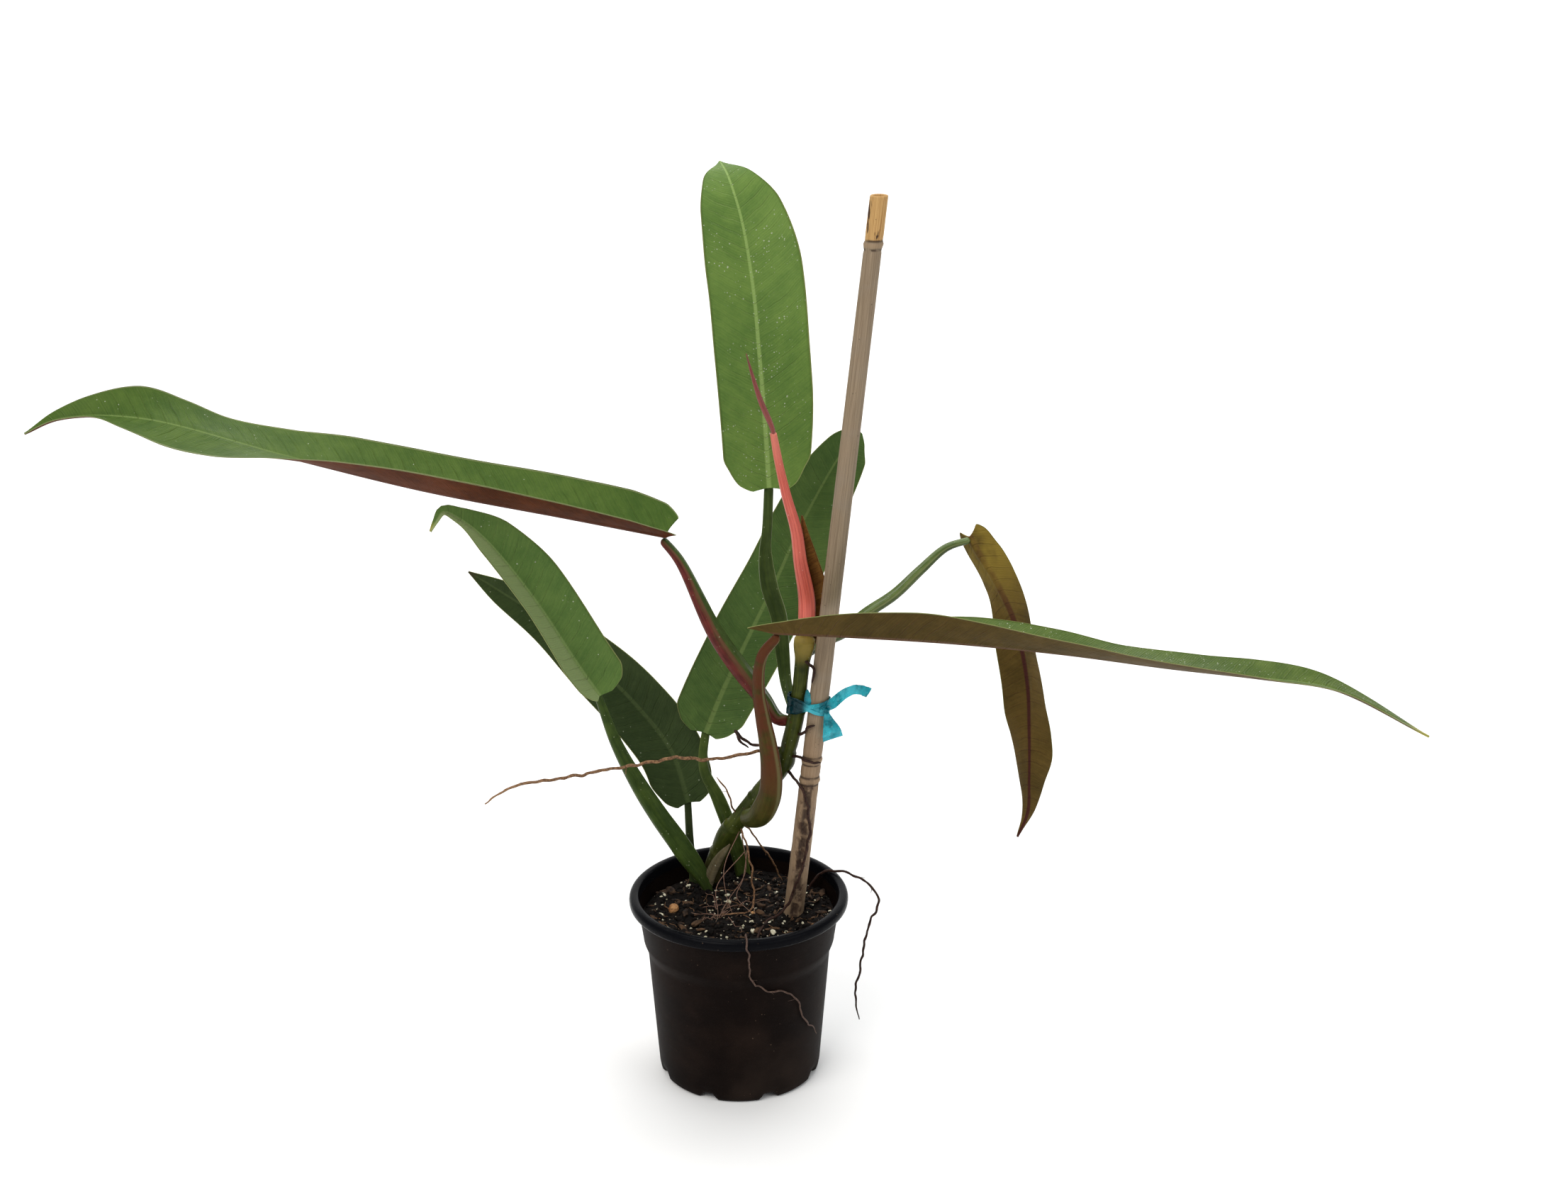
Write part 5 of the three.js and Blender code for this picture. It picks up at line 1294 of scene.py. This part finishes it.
add_piece("cane", bamboo_cane(), bamboo_paint(), "bamboo", ["bamboo_cane"])
add_piece("climbing_stem", main_stem(),
          stalk_paint("stem_bark_green", ((0.018, 0.027, 0.004), (0.065, 0.078, 0.012)),
                      ((0.024, 0.026, 0.005), (0.07, 0.062, 0.013)), foot=(0.05, 0.035, 0.018), scars=0.5,
                      tint=((0.26, 0.19, 0.04), 0.9, 0.97)),
          "stem_green", ["main_stem"])
for seed, (leaf_name, leaf_data) in enumerate(LEAVES.items()):
    add_leaf(leaf_name, leaf_data, 3.0 + 2.7 * seed)

add_piece("red_cataphyll", cataphyll(),
          sheath_paint("cataphyll_coral", (0.42, 0.05, 0.032), (0.72, 0.145, 0.098), (0.7, 0.2, 0.14)),
          "cataphyll_red", ["cataphyll"])
add_piece("leaf_spike", new_leaf_spike(),
          sheath_paint("spike_dark_red", (0.12, 0.012, 0.012), (0.32, 0.06, 0.045), (0.2, 0.05, 0.03)),
          "spike_red", ["new_leaf_spike"])
add_piece("dried_sheath", dried_flap(),
          leaf_paint("dried_sheath_brown", ((0.09, 0.035, 0.01), (0.3, 0.15, 0.035)),
                     ((0.07, 0.03, 0.01), (0.2, 0.1, 0.03)), (0.12, 0.06, 0.02), (0.1, 0.05, 0.02),
                     rim=(0.3, 0.2, 0.08), gloss=0.6, spacing=3.0), "dried_sheath", ["dried_sheath_flap"])

add_piece("foot_sheath", foot_sheath(),
          leaf_paint("foot_sheath_pale", ((0.08, 0.065, 0.035), (0.2, 0.17, 0.1)),
                     ((0.05, 0.04, 0.02), (0.13, 0.1, 0.06)),
                     (0.14, 0.11, 0.06), (0.1, 0.07, 0.04), rim=(0.24, 0.2, 0.13), gloss=0.6, spacing=2.2),
          "dried_sheath")

film = tape_paint()
add_piece("tape_wrap", tie_loop(), film, "tape", ["tape_loop"])
add_piece("tape_end_upper", tape_end(
    Shape(), [(46.5, -18.5, 128), (50.5, -20, 132), (57, -21, 138), (63, -22, 140.5), (69, -22, 138.5)],
    [[0, -0.5, 0.2, 1], [0.5, -0.3, 0.3, 1], [1, 0.5, -0.2, 1]],
    [[0, 1.2], [0.25, 2.9], [0.7, 2.5], [1, 3.0]], 31),
    film, "tape", ["tape_tail_upper"])
add_piece("tape_end_lower", tape_end(
    Shape(), [(46.8, -18.6, 127), (48, -20, 122.5), (49.5, -21, 118), (50.5, -20.5, 112)],
    [[0, 1, 0, 0.3], [1, 1, 0.3, 0.2]], [[0, 0.9], [0.3, 2.6], [0.8, 5.2], [1, 5.6]], 37),
    film, "tape", ["tape_tail_lower"])

ROOT_LOOKS = {
    "pink": (root_pink, "root_pink"),
    "grey": (root_grey, "root_pink"),
    "brown": (root_brown, "root_brown"),
}
for seed, (root_name, (thick, look, route)) in enumerate(ROOTS.items()):
    add_piece(f"root_{root_name}", aerial_root(route, thick, 40 + seed), *ROOT_LOOKS[look],
              [f"aerial_root_{root_name}"])


# ------------------------------------------------------------------ floor, light and camera
def plain_stage():
    paint = Paint("plain_pale_floor")
    tone = paint.noise(3.0, 2.0)
    paint.colour = paint.mix(tone, (0.88, 0.88, 0.875), (0.91, 0.91, 0.905))
    depth = [(-9.0, 0.0), (1.2, 0.0), (1.6, 0.05), (1.85, 0.2), (2.0, 0.5), (2.0, 3.5)]
    vertices = [(x, y, z) for y, z in depth for x in (-9.0, 9.0)]
    mesh = bpy.data.meshes.new("pale_sweep")
    mesh.from_pydata(vertices, [], grid_faces(len(depth), 2))
    mesh.polygons.foreach_set("use_smooth", [True] * len(mesh.polygons))
    mesh.materials.append(paint.finish(0.8))
    sweep = bpy.data.objects.new("pale_sweep", mesh)
    bpy.context.scene.collection.objects.link(sweep)


def soft_light(name, place, target, size, power, colour=(1, 1, 1)):
    light = bpy.data.lights.new(name, "AREA")
    light.shape = "RECTANGLE"
    light.size, light.size_y = size
    light.energy = power
    light.color = colour
    lamp = bpy.data.objects.new(name, light)
    lamp.location = place
    lamp.rotation_euler = (Vector(target) - Vector(place)).to_track_quat("-Z", "Y").to_euler()
    bpy.context.scene.collection.objects.link(lamp)


plain_stage()
soft_light("key_softbox", (-0.9, -1.3, 1.9), (0, 0, 0.2), (1.4, 1.1), 30, (1.0, 0.98, 0.95))
soft_light("fill_softbox", (1.5, -1.0, 1.2), (0, 0, 0.2), (1.2, 1.2), 10, (0.95, 0.98, 1.0))
soft_light("top_softbox", (0.1, 0.3, 2.0), (0, 0, 0.2), (1.6, 1.2), 15)
soft_light("backdrop_softbox", (0, 0.9, 1.9), (0, 2.0, 0.5), (2.4, 0.8), 26)

world = bpy.data.worlds.new("studio")
world.use_nodes = True
background = world.node_tree.nodes["Background"]
background.inputs["Color"].default_value = (1.0, 1.0, 1.0, 1)
background.inputs["Strength"].default_value = 0.4
bpy.context.scene.world = world

camera_data = bpy.data.cameras.new("camera")
camera_data.lens = 51.98
camera_data.sensor_width = 36
camera = bpy.data.objects.new("camera", camera_data)
camera.location = (0.0248, -1.1169, 0.6692)
camera.rotation_euler = (math.radians(70.8), 0, 0)
bpy.context.scene.collection.objects.link(camera)
bpy.context.scene.camera = camera
bpy.context.scene.view_settings.view_transform = "Standard"
